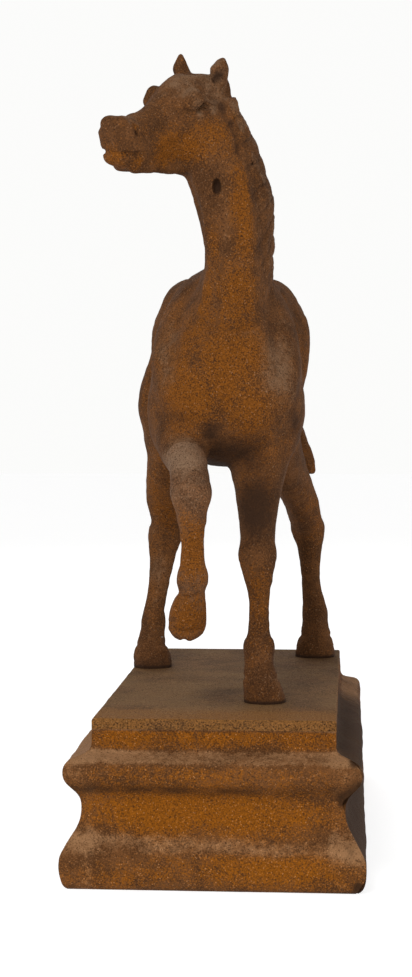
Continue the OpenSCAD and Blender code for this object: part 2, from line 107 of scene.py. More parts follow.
def skin_of(names):
    """The points, in millimetres, and triangles of these CAD nodes, as one skin."""
    points, faces, count = [], [], 0
    for name in names:
        mesh = frame["nodes"][name].data
        mesh.calc_loop_triangles()
        at = np.empty(len(mesh.vertices) * 3, np.float32)
        mesh.vertices.foreach_get("co", at)
        corners = np.empty(len(mesh.loop_triangles) * 3, np.int32)
        mesh.loop_triangles.foreach_get("vertices", corners)
        points.append(at.reshape(-1, 3) / MM)
        faces.append(corners.reshape(-1, 3) + count)
        count += len(mesh.vertices)
    return np.concatenate(points), np.concatenate(faces)


def end_plane(node, towards):
    """Where a casting is cut to meet its neighbour: the middle, outward way and radius."""
    points, faces = skin_of([node])
    a, b, c = (points[faces[:, i]].astype(float) for i in range(3))
    across = np.cross(b - a, c - a)
    area = np.linalg.norm(across, axis=1) / 2
    way = across / np.maximum(2 * area, 1e-9)[:, None]
    reach = (way * a).sum(1)
    groups = {}
    for i in np.flatnonzero(area > 1e-4):
        key = tuple(np.round(way[i], 2)) + (round(float(reach[i]), 0),)
        groups.setdefault(key, []).append(i)
    sizes = {key: area[of].sum() for key, of in groups.items()}
    largest = max(sizes.values())
    goal = sum(box_mm(towards)) / 2
    best = None
    for key, of in groups.items():
        if sizes[key] < 0.3 * largest:
            continue
        share = area[of] / sizes[key]
        middle = (((a + b + c)[of] / 3) * share[:, None]).sum(0)
        far = np.linalg.norm(middle - goal)
        if best is None or far < best[0]:
            best = (far, middle, (way[of] * share[:, None]).sum(0), math.sqrt(sizes[key] / math.pi))
    return best[1], best[2] / np.linalg.norm(best[2]), best[3]


# --- solids as distances on a grid

def smooth_low(a, b, blend):
    """The lower of two distances, with the step between them rounded off."""
    share = np.clip(0.5 + 0.5 * (b - a) / blend, 0, 1)
    return b + (a - b) * share - blend * share * (1 - share)


def blurred(grid, sigma):
    """A copy of the grid softened by a bell curve, sigma steps wide."""
    reach = math.ceil(3 * sigma)
    weights = np.exp(-0.5 * (np.arange(-reach, reach + 1) / sigma) ** 2)
    weights = (weights / weights.sum()).astype(np.float32)
    for axis in range(3):
        source = np.moveaxis(grid, axis, 0)
        total = source * weights[reach]
        for i in range(1, min(reach, source.shape[0] - 1) + 1):
            weight = weights[reach + i]
            total[i:] += source[:-i] * weight
            total[:i] += source[:1] * weight
            total[:-i] += source[i:] * weight
            total[-i:] += source[-1:] * weight
        grid = np.moveaxis(total, 0, axis)
    return np.ascontiguousarray(grid)


def ramp(low, high, x):
    """0 up to low and 1 past high, with a smooth rise between. High may be the lower of the two."""
    t = np.clip((x - low) / (high - low), 0, 1)
    return t * t * (3 - 2 * t)


def between_cells(cell, part, value_at):
    """Values at places part of the way through cells of a grid, from each cell's eight corners."""
    total = np.zeros(len(cell))
    for corner in itertools.product((0, 1), repeat=3):
        weight = np.ones(len(cell))
        for axis, side in enumerate(corner):
            weight *= part[:, axis] if side else 1 - part[:, axis]
        total += weight * value_at(cell + corner)
    return total


class Solid:
    """A solid as distances in millimetres, below zero inside, on an even grid of points."""

    def __init__(self, low, high, step):
        self.step = step
        self.start = np.floor(np.array(low) / step).astype(int)
        self.size = np.ceil(np.array(high) / step).astype(int) - self.start + 1

    def line(self, axis, first=0, last=None):
        last = self.size[axis] if last is None else last
        return (self.start[axis] + np.arange(first, last)) * np.float32(self.step)

    def filled(self, names, plugs=()):
        """How full each cell is, with the hollows inside the castings taken as solid."""
        points, faces = skin_of(names)
        for centre, radii in plugs:
            more, ball = ball_skin(centre, radii)
            faces = np.concatenate([faces, ball + len(points)])
            points = np.concatenate([points, more])
        level = openvdb.FloatGrid.createLevelSetFromPolygons(
            points.astype(np.float32), triangles=faces.astype(np.uint32),
            transform=openvdb.createLinearTransform(voxelSize=self.step), halfWidth=BAND)
        far = np.zeros(self.size, np.float32)
        level.copyToArray(far, ijk=tuple(int(i) for i in self.start))
        outside = far >= 0
        beside = outside.copy()
        for axis in range(3):
            line = np.moveaxis(beside, axis, 0)
            grown = line.copy()
            grown[1:] |= line[:-1]
            grown[:-1] |= line[1:]
            beside = np.moveaxis(grown, 0, axis)
        full = np.clip(0.5 - far / self.step, 0, 1)
        full[~beside] = 1
        return full

    def soften(self, full, fine, coarser=()):
        """Turns fullness into distance, softened finely, and more where a mask is 1."""
        def distance(sigma):
            share = np.clip(blurred(full, sigma / self.step), 1e-4, 1 - 1e-4)
            return (-sigma / LOGISTIC) * np.log(share / (1 - share))
        self.d = distance(fine)
        lines = [self.line(i) for i in range(3)]
        x, y, z = np.meshgrid(*lines, indexing="ij", sparse=True)
        for sigma, mask in coarser:
            self.d += (distance(sigma) - self.d) * mask(x, y, z).astype(np.float32)
        self.soft = blurred(full, HOLLOW_REACH / self.step)

    def work(self, low, high, change):
        """Applies change(distance, places) in the part of the grid between two corners."""
        first = np.maximum(np.floor(np.array(low) / self.step).astype(int) - self.start, 0)
        last = np.minimum(np.ceil(np.array(high) / self.step).astype(int) - self.start + 1, self.size)
        if (last <= first).any():
            return
        part = tuple(slice(a, b) for a, b in zip(first, last))
        lines = [self.line(i, first[i], last[i]) for i in range(3)]
        places = np.stack(np.meshgrid(*lines, indexing="ij"), axis=-1)
        self.d[part] = change(self.d[part], places)

    def add(self, shape, blend=2.0):
        low, high, distance = shape
        margin = blend + 2 * self.step
        self.work(low - margin, high + margin,
                  lambda old, at: smooth_low(old, distance(at), blend))

    def cut(self, shape, blend=1.0):
        low, high, distance = shape
        margin = blend + 2 * self.step
        self.work(low - margin, high + margin,
                  lambda old, at: -smooth_low(-old, distance(at), blend))

    def sample(self, grid, points):
        """The grid's values at these points, in millimetres."""
        at = np.clip(points / self.step - self.start, 0, np.array(self.size) - 1.001)
        cell = at.astype(int)
        return between_cells(cell, at - cell, lambda corner: grid[tuple(corner.T)])

    def mesh(self, grow=0.0):
        """The surface as points in millimetres and quads, facing outward."""
        limit = BAND * self.step
        grid = openvdb.FloatGrid(limit)
        grid.copyFromArray(np.clip(self.d - grow, -limit, limit).astype(np.float32))
        points, quads = grid.convertToQuads(0.0)
        points = (points.astype(float) + self.start) * self.step
        a, b, c, d = (points[quads[:, i]] for i in range(4))
        if (a * np.cross(b - a, c - a)).sum() + (a * np.cross(c - a, d - a)).sum() < 0:
            quads = quads[:, ::-1]
        return points, quads


def ball_skin(centre, radii):
    """The points and triangles of a ball stretched to these radii."""
    ball = bmesh.new()
    bmesh.ops.create_uvsphere(ball, u_segments=16, v_segments=8, radius=1)
    bmesh.ops.triangulate(ball, faces=list(ball.faces))
    ball.verts.index_update()
    points = np.array([v.co[:] for v in ball.verts])
    faces = np.array([[v.index for v in face.verts] for face in ball.faces])
    ball.free()
    return points * radii + centre, faces


# --- shapes to add and to cut

def bone(a, b, ra, rb):
    """A rod with round ends, from radius ra to radius rb."""
    a, b = np.array(a, float), np.array(b, float)
    along = b - a
    length = max(float(along @ along), 1e-9)
    wide = max(ra, rb)

    def distance(at):
        off = at - a
        share = np.clip((off @ along) / length, 0, 1)
        return np.linalg.norm(off - share[..., None] * along, axis=-1) - (ra + (rb - ra) * share)
    return np.minimum(a, b) - wide, np.maximum(a, b) + wide, distance


def egg(centre, radii, axes=((1, 0, 0), (0, 1, 0), (0, 0, 1))):
    """An ellipsoid, with its radii along these axes."""
    centre, radii, axes = (np.array(v, float) for v in (centre, radii, axes))
    wide = radii.max()

    def distance(at):
        scaled = np.linalg.norm(((at - centre) @ axes.T) / radii, axis=-1)
        return (scaled - 1) * radii.min()
    return centre - wide, centre + wide, distance


def along_path(points, radii):
    """Rods end to end, with a radius at each point."""
    rods = [bone(points[i], points[i + 1], radii[i], radii[i + 1]) for i in range(len(points) - 1)]
    low = np.min([rod[0] for rod in rods], axis=0)
    high = np.max([rod[1] for rod in rods], axis=0)
    return low, high, lambda at: np.minimum.reduce([rod[2](at) for rod in rods])


skin_points, skin_faces = skin_of(HORSE + ["tail"])
SKIN = BVHTree.FromPolygons([Vector(p) for p in skin_points.tolist()], skin_faces.tolist())


def on_skin(place, way):
    """Where the CAD's skin is met on the way in from outside, beside a place."""
    way = Vector(way).normalized()
    start = Vector(place) + way * SEARCH
    near = SKIN.ray_cast(start, -way)[0]
    if near is None:
        near = SKIN.find_nearest(Vector(place))[0]
    return np.array(near)


def draped(places, way):
    """Places laid on the skin, close together along the line through the given places."""
    places = [np.array(p, float) for p in places]
    laid = []
    for a, b in zip(places[:-1], places[1:]):
        count = max(1, int(np.linalg.norm(b - a) / 3))
        laid += [on_skin(a + (b - a) * i / count, way) for i in range(count)]
    laid.append(on_skin(places[-1], way))
    return laid


def outward(solid, place):
    """The way out of a solid at a place near its skin."""
    step = 1.5
    offsets = np.concatenate([np.eye(3), -np.eye(3)]) * step
    around = solid.sample(solid.d, np.array(place) + offsets)
    slope = around[:3] - around[3:]
    return slope / max(np.linalg.norm(slope), 1e-6)


def settled(solid, place):
    """A place near a solid's skin, moved onto it as it is now, and the way out there."""
    for _ in range(2):
        out = outward(solid, place)
        place = place - out * float(solid.sample(solid.d, place[None, :])[0])
    return place, out


def trace(solid, places, way, radius, rise, blend):
    """Raises a long bulge along the skin, or cuts a furrow where rise is below zero.

    The places are met from outside along way, and both ends fade out."""
    laid = draped(places, way)
    centres = []
    for i, near in enumerate(laid):
        fade = math.sin(math.pi * (i + 0.5) / len(laid)) ** 0.5
        near, out = settled(solid, near)
        centres.append(near - out * math.copysign(radius, rise) + out * rise * fade)
    change = solid.add if rise > 0 else solid.cut
    change(along_path(centres, [radius] * len(centres)), blend)


def pit(solid, place, way, radius, depth):
    """Cuts a small round hole in the skin."""
    near, out = settled(solid, on_skin(place, way))
    solid.cut(bone(near + out * radius, near - out * (depth - radius), radius, radius), 0.6)


def above(places, side=1):
    """Places given by x, y and height above the deck, with x turned towards one side."""
    return [np.array((side * x, y, DECK + height)) for x, y, height in places]


# --- noise

def lumps(points, size, seed):
    """Smooth noise from -1 to 1, with lumps of about this size in millimetres."""
    table = np.random.default_rng(seed).uniform(-1, 1, (NOISE_POINTS,) * 3)
    at = points / size
    cell = np.floor(at).astype(int)
    part = at - cell
    return between_cells(cell, part * part * (3 - 2 * part),
                         lambda corner: table[tuple((corner % NOISE_POINTS).T)])


# --- the head's own frame

left_ear, right_ear, head = (skin_of([name])[0].astype(float)
                             for name in ("left_ear", "right_ear", "head"))
EARS = (left_ear.mean(0) + right_ear.mean(0)) / 2
NEAR = left_ear.mean(0) - right_ear.mean(0)
NEAR /= np.linalg.norm(NEAR)


def square_to_near(way):
    """A way turned square to the line through the ears, with length 1."""
    way = way - NEAR * (way @ NEAR)
    return way / np.linalg.norm(way)


muzzle = head[np.argmax(np.linalg.norm(head - EARS, axis=1))]
for _ in range(3):
    reach = (head - EARS) @ square_to_near(muzzle - EARS)
    muzzle = head[reach > reach.max() - 2].mean(0)
# The muzzle's end is this far ahead of the ears and below them, in the head's own frame.
MUZZLE_AHEAD = 82.5
MUZZLE_BELOW = 22.6
dip = math.atan2(MUZZLE_BELOW, MUZZLE_AHEAD)
face_way = square_to_near(muzzle - EARS)
lift_way = np.cross(NEAR, face_way)
lift_way *= np.sign(lift_way[2])
AHEAD = face_way * math.cos(dip) + lift_way * math.sin(dip)
UP = lift_way * math.cos(dip) - face_way * math.sin(dip)
POLL = EARS - AHEAD * 2.5 + UP * 0.33
HEAD_AXES = (AHEAD, NEAR, UP)


def on_head(along, left, up):
    """A place on the head: along the nose, to the horse's left, and above the line of the face."""
    return POLL + AHEAD * along + NEAR * left + UP * up


def face_path(side, places):
    """A line of places on one side of the head."""
    return [on_head(along, side * left, up) for along, left, up in places]


def crease(side, places, radius, rise, blend, lean=0):
    """A bulge or furrow on one side of the head, met from that side."""
    trace(bust, face_path(side, places), NEAR * side + lean, radius, rise, blend)


def head_egg(along, left, up, radii):
    """An ellipsoid set square in the head."""
    return egg(on_head(along, left, up), radii, HEAD_AXES)


# --- torso and legs

def middle_at(node, height):
    """The middle of a leg at a height above the deck, and half its size across and along."""
    points, faces = skin_of([node])
    level = DECK + height
    crossed = []
    for i in range(3):
        a, b = points[faces[:, i]], points[faces[:, (i + 1) % 3]]
        over = (a[:, 2] - level) * (b[:, 2] - level) < 0
        a, b = a[over], b[over]
        share = (level - a[:, 2]) / (b[:, 2] - a[:, 2])
        crossed.append(a + (b - a) * share[:, None])
    crossed = np.concatenate(crossed)
    low, high = crossed.min(0), crossed.max(0)
    return (low + high) / 2, (high - low) / 2


def tendon_hollows(solid, node, heights, gap):
    """Hollows on both sides of a cannon, between bone and tendon."""
    for side in (-1, 1):
        path = []
        for height in heights:
            middle, half = middle_at(node, height)
            path.append(middle + (side * (half[0] + gap), 1.6, 0))
        solid.cut(along_path(path, [2.4, 2.6, 2.2]), 2.5)


def leg_bones(solid, node, joint, fetlock, hind):
    """Works the joint, tendon, fetlock and hoof of a standing leg."""
    middle, half = middle_at(node, joint)
    for side in (-1, 1):
        solid.add(egg(middle + (side * half[0] * 0.48, 0, 0), (half[0] * 0.5, 4.5, 9)), 3)
    tendon_hollows(solid, node, [joint + (fetlock - joint) * share for share in (0.12, 0.5, 0.88)], 1.3)
    if hind:
        # The point of the hock, with the strong tendon that runs up from it.
        middle, half = middle_at(node, joint + 7)
        solid.add(bone(middle + (0, half[1] - 2.2, 3), middle + (0, half[1] - 3, -6), 3.6, 3), 3)
        low, low_half = middle_at(node, joint + 10)
        top, top_half = middle_at(node, joint + 34)
        for side in (-1, 1):
            solid.cut(bone(low + (side * (low_half[0] + 2.5), low_half[1] * 0.35, 0),
                           top + (side * (top_half[0] + 5), top_half[1] * 0.35, 0), 4, 6.5), 4)
    else:
        # A flat knee with a bump at its back.
        solid.add(bone(middle + (0, half[1] - 3, 3), middle + (0, half[1] - 3, -3), 3.4, 3), 3)
    middle, half = middle_at(node, fetlock)
    solid.add(egg(middle + (0, half[1] * 0.55, -1.5), (half[0] * 0.72, half[1] * 0.6, 4.5)), 2)
    for side in (-1, 1):
        solid.add(egg(middle + (side * half[0] * 0.46, 0.5, -1), (half[0] * 0.54, half[1] * 0.7, 6.5)), 2)
    # The coronet: a shallow groove round the top of the hoof.
    middle, half = middle_at(node, 14.5)
    rim = []
    for turn in np.linspace(0, 2 * math.pi, 25):
        rim.append(middle + (1.07 * math.cos(turn) * half[0], 1.07 * math.sin(turn) * half[1],
                             -1.6 * math.sin(turn)))
    for start, end in zip(rim[:-1], rim[1:]):
        solid.cut(bone(start, end, 1.6, 1.6), 1.0)
    # Worn chips and lumps in the hoof wall: turn, height, share of the way out, and radius.
    for turn, height, push, size in ((0.3, 7, 0.95, 3.4), (1.7, 9, 0.93, 3.8), (2.9, 6, 0.95, 3.2),
                                     (3.9, 9, 0.93, 3.6), (4.7, 6, 0.95, 3.8), (5.5, 10, 0.93, 3.2)):
        middle, half = middle_at(node, height)
        spot = middle + (math.cos(turn) * (half[0] * push - size * 0.72),
                         math.sin(turn) * (half[1] * push - size * 0.72), 0)
        solid.add(egg(spot, (size, size, size * 0.8)), 0.8)


body = Solid((-72, -146, DECK - 12), (70, 156, box_mm("torso")[1][2] + 34), BODY_STEP)
# The core-pin hole in the neck is filled in first, and cut again later as a short hole.
PLUG = [((-1.2, -113.5, DECK + 297.5), (4.2, 3.2, 8.0))]
full = body.filled(HORSE + LINERS, PLUG)
# Below the deck the feet are mirrored, so that softening leaves their edges sharp.
ground = int(round(DECK / body.step)) - body.start[2]
full[:, :, :ground] = full[:, :, 2 * ground:ground:-1]


def root_of_neck(y, z):
    """Falls from 1 to 0.25 where the trunk runs into the neck."""
    return 1 - 0.75 * ramp(DECK + 232, DECK + 275, z) * ramp(-20, -50, y)


body.soften(full, 1.5, [(4.2, lambda x, y, z: ramp(DECK + 128, DECK + 168, z) * root_of_neck(y, z))])

leg_bones(body, "left_foreleg", 86, 32, False)
leg_bones(body, "right_hind_leg", 88, 30, True)
leg_bones(body, "left_hind_leg", 88, 30, True)

# The raised foreleg: knee cap, tendon hollows, fetlock and hoof.
knee, _ = middle_at("right_foreleg", 118)
for side in (-1, 1):
    body.add(egg(knee + (side * 6.5, -1, 6), (4.5, 6, 6)), 4)
tendon_hollows(body, "right_foreleg", (104, 94, 84), 1.2)
body.add(egg(knee + (0, -5.5, 7), (6.5, 4.5, 6)), 4)
fetlock, half = middle_at("right_foreleg", 75)
body.add(egg(fetlock + (0, half[1] * 0.6, -1), (6.4, 5, 4.5)), 3)
for side in (-1, 1):
    body.add(egg(fetlock + (side * half[0] * 0.5, -1, 0), (half[0] * 0.5, 5.5, 6)), 2)
# The coronet, and a worn lip round the bottom of the hoof.
trace(body, above([(-33, -130, 67), (-24, -140, 65), (-13, -140, 65), (-5, -130, 68)]),
      FORWARD, 1.5, -1.2, 0.7)
trace(body, above([(-33, -130, 50), (-26, -140, 45.5), (-18, -140, 43.5), (-9, -140, 46)]),
      FORWARD, 1.4, -1.0, 0.7)
body.cut(bone((-20.0, -145, DECK + 36.6), (-19.4, -104, DECK + 39.0), 1.5, 1.5), 0.7)
# The cleft of the frog in the sole, and the notch between the heels.
sole = np.array((-18.6, -108.5, DECK + 43.0))
body.cut(bone(sole + (0.4, 6.5, -1.5), sole + (0.2, -1.5, -3.4), 1.3, 0.9), 0.8)
body.cut(bone(sole + (0.2, -4, -1.0), sole + (0.2, 4, -2.6), 0.7, 0.9), 0.8)


# --- neck, head, ears and mane

BUST_BOX = ((-72, -160, DECK + 222), (42, -22, DECK + 382))
bust = Solid(*BUST_BOX, BUST_STEP)
full = bust.filled(["torso", "neck", "head", "left_ear", "right_ear", "mane"] + LINERS[:8], PLUG)
bust.soften(full, 0.9, [
    (2.6, lambda x, y, z: ramp(DECK + 340, DECK + 322, z) * ramp(-126, -119, y)),
    (4.2, lambda x, y, z: root_of_neck(y, z) * ramp(DECK + 300, DECK + 262, z))])
mane = Solid(*BUST_BOX, BUST_STEP)
mane.soften(mane.filled(["mane"]), 0.8)
bust.d = -smooth_low(-bust.d, mane.d + 0.2, 0.6)

# Bone and muscle of the trunk and neck, on both grids, so that they agree where they meet.
for solid in (body, bust):
    for side in (-1, 1):
        out_way = (side, 0, 0)
        # Shoulder blade, the hollows before and behind it, and the upper arm.
        trace(solid, above([(30, -50, 244), (40, -68, 220), (44, -86, 200), (40, -100, 184)], side),
              out_way, 9, 1.3, 9)
        trace(solid, above([(30, -82, 240), (34, -94, 220), (34, -104, 198)], side),
              (side * 0.8, -0.6, 0), 7, -1.2, 7)
        trace(solid, above([(40, -42, 240), (50, -38, 205), (50, -42, 172), (46, -48, 150)], side),
              out_way, 9, -1.3, 8)
        solid.add(egg((side * 34 + 1, -68, DECK + 166), (11.5, 18, 22)), 8)
        # Breast muscles.
        solid.add(egg((side * 14 + 3.5, -101, DECK + 176), (13, 12.5, 18)), 9)
        # Flank, point of the hip, thigh, and the groove down its back.
        trace(solid, above([(50, 30, 226), (54, 33, 198), (50, 26, 166)], side), out_way, 11, -2.0, 10)
        solid.add(egg((side * 27 - 3, 54, DECK + 242), (9, 13, 8)), 8)
        trace(solid, above([(50, 64, 226), (56, 56, 200), (56, 48, 174)], side), out_way, 11, 1.1, 10)
        trace(solid, above([(44, 100, 238), (48, 104, 212), (44, 98, 180)], side),
              (side * 0.85, 0.5, 0), 7, -1.6, 7)
    # The middle lines of the breast, the back and the buttocks.
    trace(solid, above([(3.5, -130, 206), (3.5, -130, 184), (3.5, -126, 162)]), FORWARD, 4, -0.7, 5)
    trace(solid, above([(-3, 50, 275), (-4, 90, 275), (-4, 116, 262)]), UPWARD, 5, -0.9, 6)
    trace(solid, above([(-4, 142, 196), (-4, 138, 178), (-4, 126, 158)]), BACKWARD, 6, -2.0, 6)
    # Two cords of muscle down the front of the neck, with the windpipe between them.
    for x, side in ((-8, -1), (17, 1)):
        trace(solid, above([(x - side, -120, 292), (x, -120, 276), (x, -125, 256),
                            (x + side * 2, -128, 236), (x + side * 5, -130, 214)]), FORWARD, 4.2, 1.1, 4)
        trace(solid, above([(x - side * 6.5, -120, 286), (x - side * 6, -125, 258),
                            (x - side * 5, -130, 236), (x - side * 3, -132, 218)]), FORWARD, 4.2, -0.9, 4)
        # The groove on the side of the neck, above the windpipe.
        trace(solid, above([(4 + side * 20, -104, 312), (8 + side * 24, -102, 280),
                            (8 + side * 30, -96, 250)]), (side, -0.2, 0), 5, -1.2, 5)


def block(centre, way, reach):
    """Everything beyond a plane, within reach of a place on it."""
    centre = np.array(centre, float)
    way = np.array(way, float) / np.linalg.norm(way)

    def distance(at):
        off = at - centre
        return np.maximum(-(off @ way), np.linalg.norm(off, axis=-1) - reach)
    return centre - reach, centre + reach, distance


# The poll is low between the ears.
bust.cut(head_egg(-5, 0, 5.0, (22, 12, 9.8)), 4)

for side in (-1, 1):
    out_way = NEAR * side
    # Muzzle: raised wings of the nose over a square upper lip.
    bust.add(head_egg(78.8, side * 3.4, -4.6, (4.8, 6.0, 4.8)), 2.5)
    bust.add(head_egg(78.3, side * 5.6, -13, (5.2, 5.6, 7.5)), 2.5)
    # Nostril, with a rim round it.
    crease(side, [(77, 22, -6), (79, 22, -10), (77, 22, -14.5)], 1.8, 0.9, 1)
    crease(side, [(77, 22, -6.5), (73, 22, -6), (70.5, 22, -9)], 1.6, 0.7, 1)
    pit(bust, on_head(74.8, side * 20, -10.2), out_way, 1.6, 2.2)
    # Lower lip, and the corner of the mouth.
    bust.add(head_egg(82.0, side * 4.2, -22.8, (4.2, 5.8, 4.6)), 1.6)
    crease(side, [(84, 22, -19.4), (80, 22, -20.6), (76, 22, -21.8), (71, 22, -23.4)], 1.3, -1.3, 0.5)
    # The nose bone stands over a hollow, and the cheek bone runs back to the eye.
    crease(side, [(66, 22, -12), (58, 22, -13), (48, 22, -14), (40, 22, -12)], 4.5, -1.9, 3, UP * 0.3)
    crease(side, [(60, 22, -20.5), (48, 24, -20.5), (36, 26, -19)], 2.8, 1.5, 2)
    # Edge of the lower jaw, from the chin to the throat.
    jaw = face_path(side, [(79.5, 4, -24.8), (72, 4.5, -29.2), (64, 5, -33.6), (54, 5.5, -38.6),
                           (42, 7.5, -43.6)])
    bust.add(along_path(jaw, [3.6, 3.9, 4.1, 4.2, 4.4]), 2)
    # Round cheek, and the groove behind the jaw.
    bust.add(head_egg(25, side * 13.0, -30, (17, 9.6, 16)), 3)
    crease(side, [(13, 30, -12), (12, 30, -22), (13, 30, -33), (19, 28, -46)], 3.6, -2.2, 2.5)
    # Eye: a ball between two lids, under the brow.
    eye = on_skin(on_head(25.5, side * 26, -14), out_way)
    look = outward(bust, eye)
    bust.cut(egg(eye + look * 1.0, (5.0, 3.4, 3.6), (AHEAD, look, UP)), 0.8)
    bust.add(egg(eye - look * 1.6, (3.4, 3.2, 2.8), (AHEAD, look, UP)), 0.3)
    bust.cut(bone(eye + look * 2, eye + look * 0.6, 0.8, 0.8), 0.3)
    lid = [(18.5, 28, -14.4), (21.5, 28, -10.2), (26, 28, -8.8), (32, 28, -11.4)]
    crease(side, lid, 1.8, 1.3, 1)
    lid = [(19, 28, -15.4), (25, 28, -19.4), (32, 28, -15.9)]
    crease(side, lid, 1.5, 1.1, 1)
    # The hollow over the eye.
    crease(side, [(20, 22, -3), (14, 22, -6)], 4, -1.8, 2.5, UP)
# The mouth line across the front, and the dip behind the top of the muzzle.
mouth = [on_head(84, left, -19 - left * 0.06) for left in range(-9, 10, 2)]
trace(bust, mouth, AHEAD, 1.2, -0.7, 0.9)
trace(bust, [on_head(67, left, 8) for left in (-7, 0, 7)], UP, 3.2, -1.2, 2)

# Ears: the left one is broad with a flat worn tip, and the right one is pointed. Both are
# hollow outward and forward, with a rim.
bust.cut(block(on_head(6.0, -16, 1.2), AHEAD * 0.75 + UP * 0.6, 9), 1.0)
bust.cut(block(on_head(2, -19.2, 2.0), UP * 0.4 - NEAR, 7), 1.0)
bust.cut(block(on_head(1, -16, 7.6), UP, 6), 0.4)
bust.add(along_path([on_head(6.2, 16, 3.2), on_head(0.5, 16, 2.2)], [3.0, 3.2]), 2)
bust.add(head_egg(7.6, 15.8, -0.4, (3.4, 2.6, 6.0)), 2)
bust.add(head_egg(-1, 12.2, -12, (4, 3.5, 8.5)), 2.5)
bust.cut(block(on_head(-2.6, 17.4, 3.0), NEAR - AHEAD * 0.8 + UP * 0.25, 5), 1.0)
bust.cut(block(on_head(2.8, 16, 6.0), UP + AHEAD * 0.25, 12), 0.8)
for side in (-1, 1):
    hollow = face_path(side, [(7.5, 19.6, 2.5), (8.5, 19.8, -2.5), (10, 18.4, -8)])
    bust.cut(along_path(hollow, [1.6, 3.3, 2.8]), 0.7)

# The mane's upper end runs out into the head.
bust.cut(block((6.9, -85, DECK + 352), (0.85, 0, 0.53), 8), 1.5)

# The core-pin hole in the neck, and pits in the casting.
front = on_skin((-1.2, -125, DECK + 290.5), FORWARD)
front[2] = DECK + 297.5
bust.cut(egg(front + (0, 0.2, 0), (2.4, 3.0, 4.9)), 0.6)
pit(bust, (-8.9, -125, DECK + 294.7), FORWARD, 0.8, 1.6)
pit(body, (-1.2, -140, DECK + 201), FORWARD, 0.8, 1.3)
pit(body, (0.6, -140, DECK + 202.2), FORWARD, 0.7, 1.0)
pit(body, (33.4, -125, DECK + 191.5), FORWARD, 0.9, 1.5)

# Middle lines of the neck and the tail: height above the deck, x and y.
NECK_LINE = [(236, 6.5, -73), (256, 8.8, -82), (272, 8.3, -87), (290, 5.5, -90.5),
             (309, 0, -94), (330, -5.5, -97), (348, -9, -98)]
TAIL_LINE = [(125, 47.5, 137.5), (134, 43.5, 138), (148, 36, 139), (168, 26, 140),
             (188, 15, 139), (207, 5, 135), (224, -1, 127)]
# How far apart the locks of the mane lie, and the strands in them.
LOCK, STRAND = 12.5, 3.1


def beside_line(at, line):
    """The height of each place above the deck, and its x and y from a middle line."""
    height = at[..., 2] - DECK
    heights, xs, ys = zip(*line)
    return height, at[..., 0] - np.interp(height, heights, xs), at[..., 1] - np.interp(height, heights, ys)


def lock_place(at):
    """How far down a lock a place is, and its turn from the crest to the front in degrees.

    The locks run down and forward from the crest, round the line of the neck."""
    height, x, y = beside_line(at, NECK_LINE)
    turn = np.degrees(np.arctan2(x, y))
    return height + 0.24 * turn + 1.6 * np.sin(turn * 0.055 + height * 0.05), turn


def locks(at):
    """How deep the grooves between locks and strands are, up to 1 each."""
    down, turn = lock_place(at)
    lock = 1 - np.abs(np.sin(math.pi * down / LOCK)) ** 0.6
    strand = 1 - np.abs(np.sin(math.pi * down / STRAND + 0.6 * np.sin(turn * 0.09)))
    return lock, strand


def comb(old, at):
    lock, strand = locks(at)
    return old + lock * 0.8 + strand * 0.35 - 0.3


mane_low, mane_high = box_mm("mane")
mane.work(mane_low - 4, mane_high + 4, comb)


def fallen(at):
    """1 where the mane's thin front locks are cast on the neck itself, and 0 elsewhere."""
    down, turn = lock_place(at)
    height = at[..., 2] - DECK
    edge = 142 + 7 * np.sin(math.pi * down / LOCK + 1.0) + 5 * ramp(300, 250, height)
    share = ramp(edge, edge - 7, turn) * ramp(35, 60, turn)
    return share * ramp(236, 250, height) * ramp(344, 326, height)


def comb_neck(old, at):
    lock, strand = locks(at)
    return old + fallen(at) * (lock * 0.9 + strand * 0.4 - 1.0)


bust.work((-20, -122, DECK + 234), (38, -58, DECK + 352), comb_neck)


# --- tail

tail_low, tail_high = box_mm("tail")
brush = Solid(tail_low - (8, 12, 8), tail_high + (8, 6, 10), TAIL_STEP)
brush.soften(brush.filled(["torso", "tail", "tail_dowel"]), 1.3)


def strands(old, at):
    """Long wavy strands down the tail, deeper towards its tip."""
    height, x, y = beside_line(at, TAIL_LINE)
    turn = np.arctan2(y, x * 0.85) + 0.25 * np.sin(height * 0.09) + height * 0.006
    lock = 1 - np.abs(np.sin(turn * 2.5 + 0.5)) ** 0.6
    strand = 1 - np.abs(np.sin(turn * 7.5))
    share = ramp(222, 205, height)
    return old + share * (lock * 1.1 + strand * 0.4 - 0.4)


brush.work(tail_low - 6, tail_high + 6, strands)


# --- from distances to meshes

def joined_groups(items, beside):
    """Splits items into groups that hang together, where beside gives each one's neighbours."""
    left, groups = set(items), []
    while left:
        group, wave = [], [left.pop()]
        while wave:
            item = wave.pop()
            group.append(item)
            for other in beside(item):
                if other in left:
                    left.discard(other)
                    wave.append(other)
        groups.append(group)
    return groups


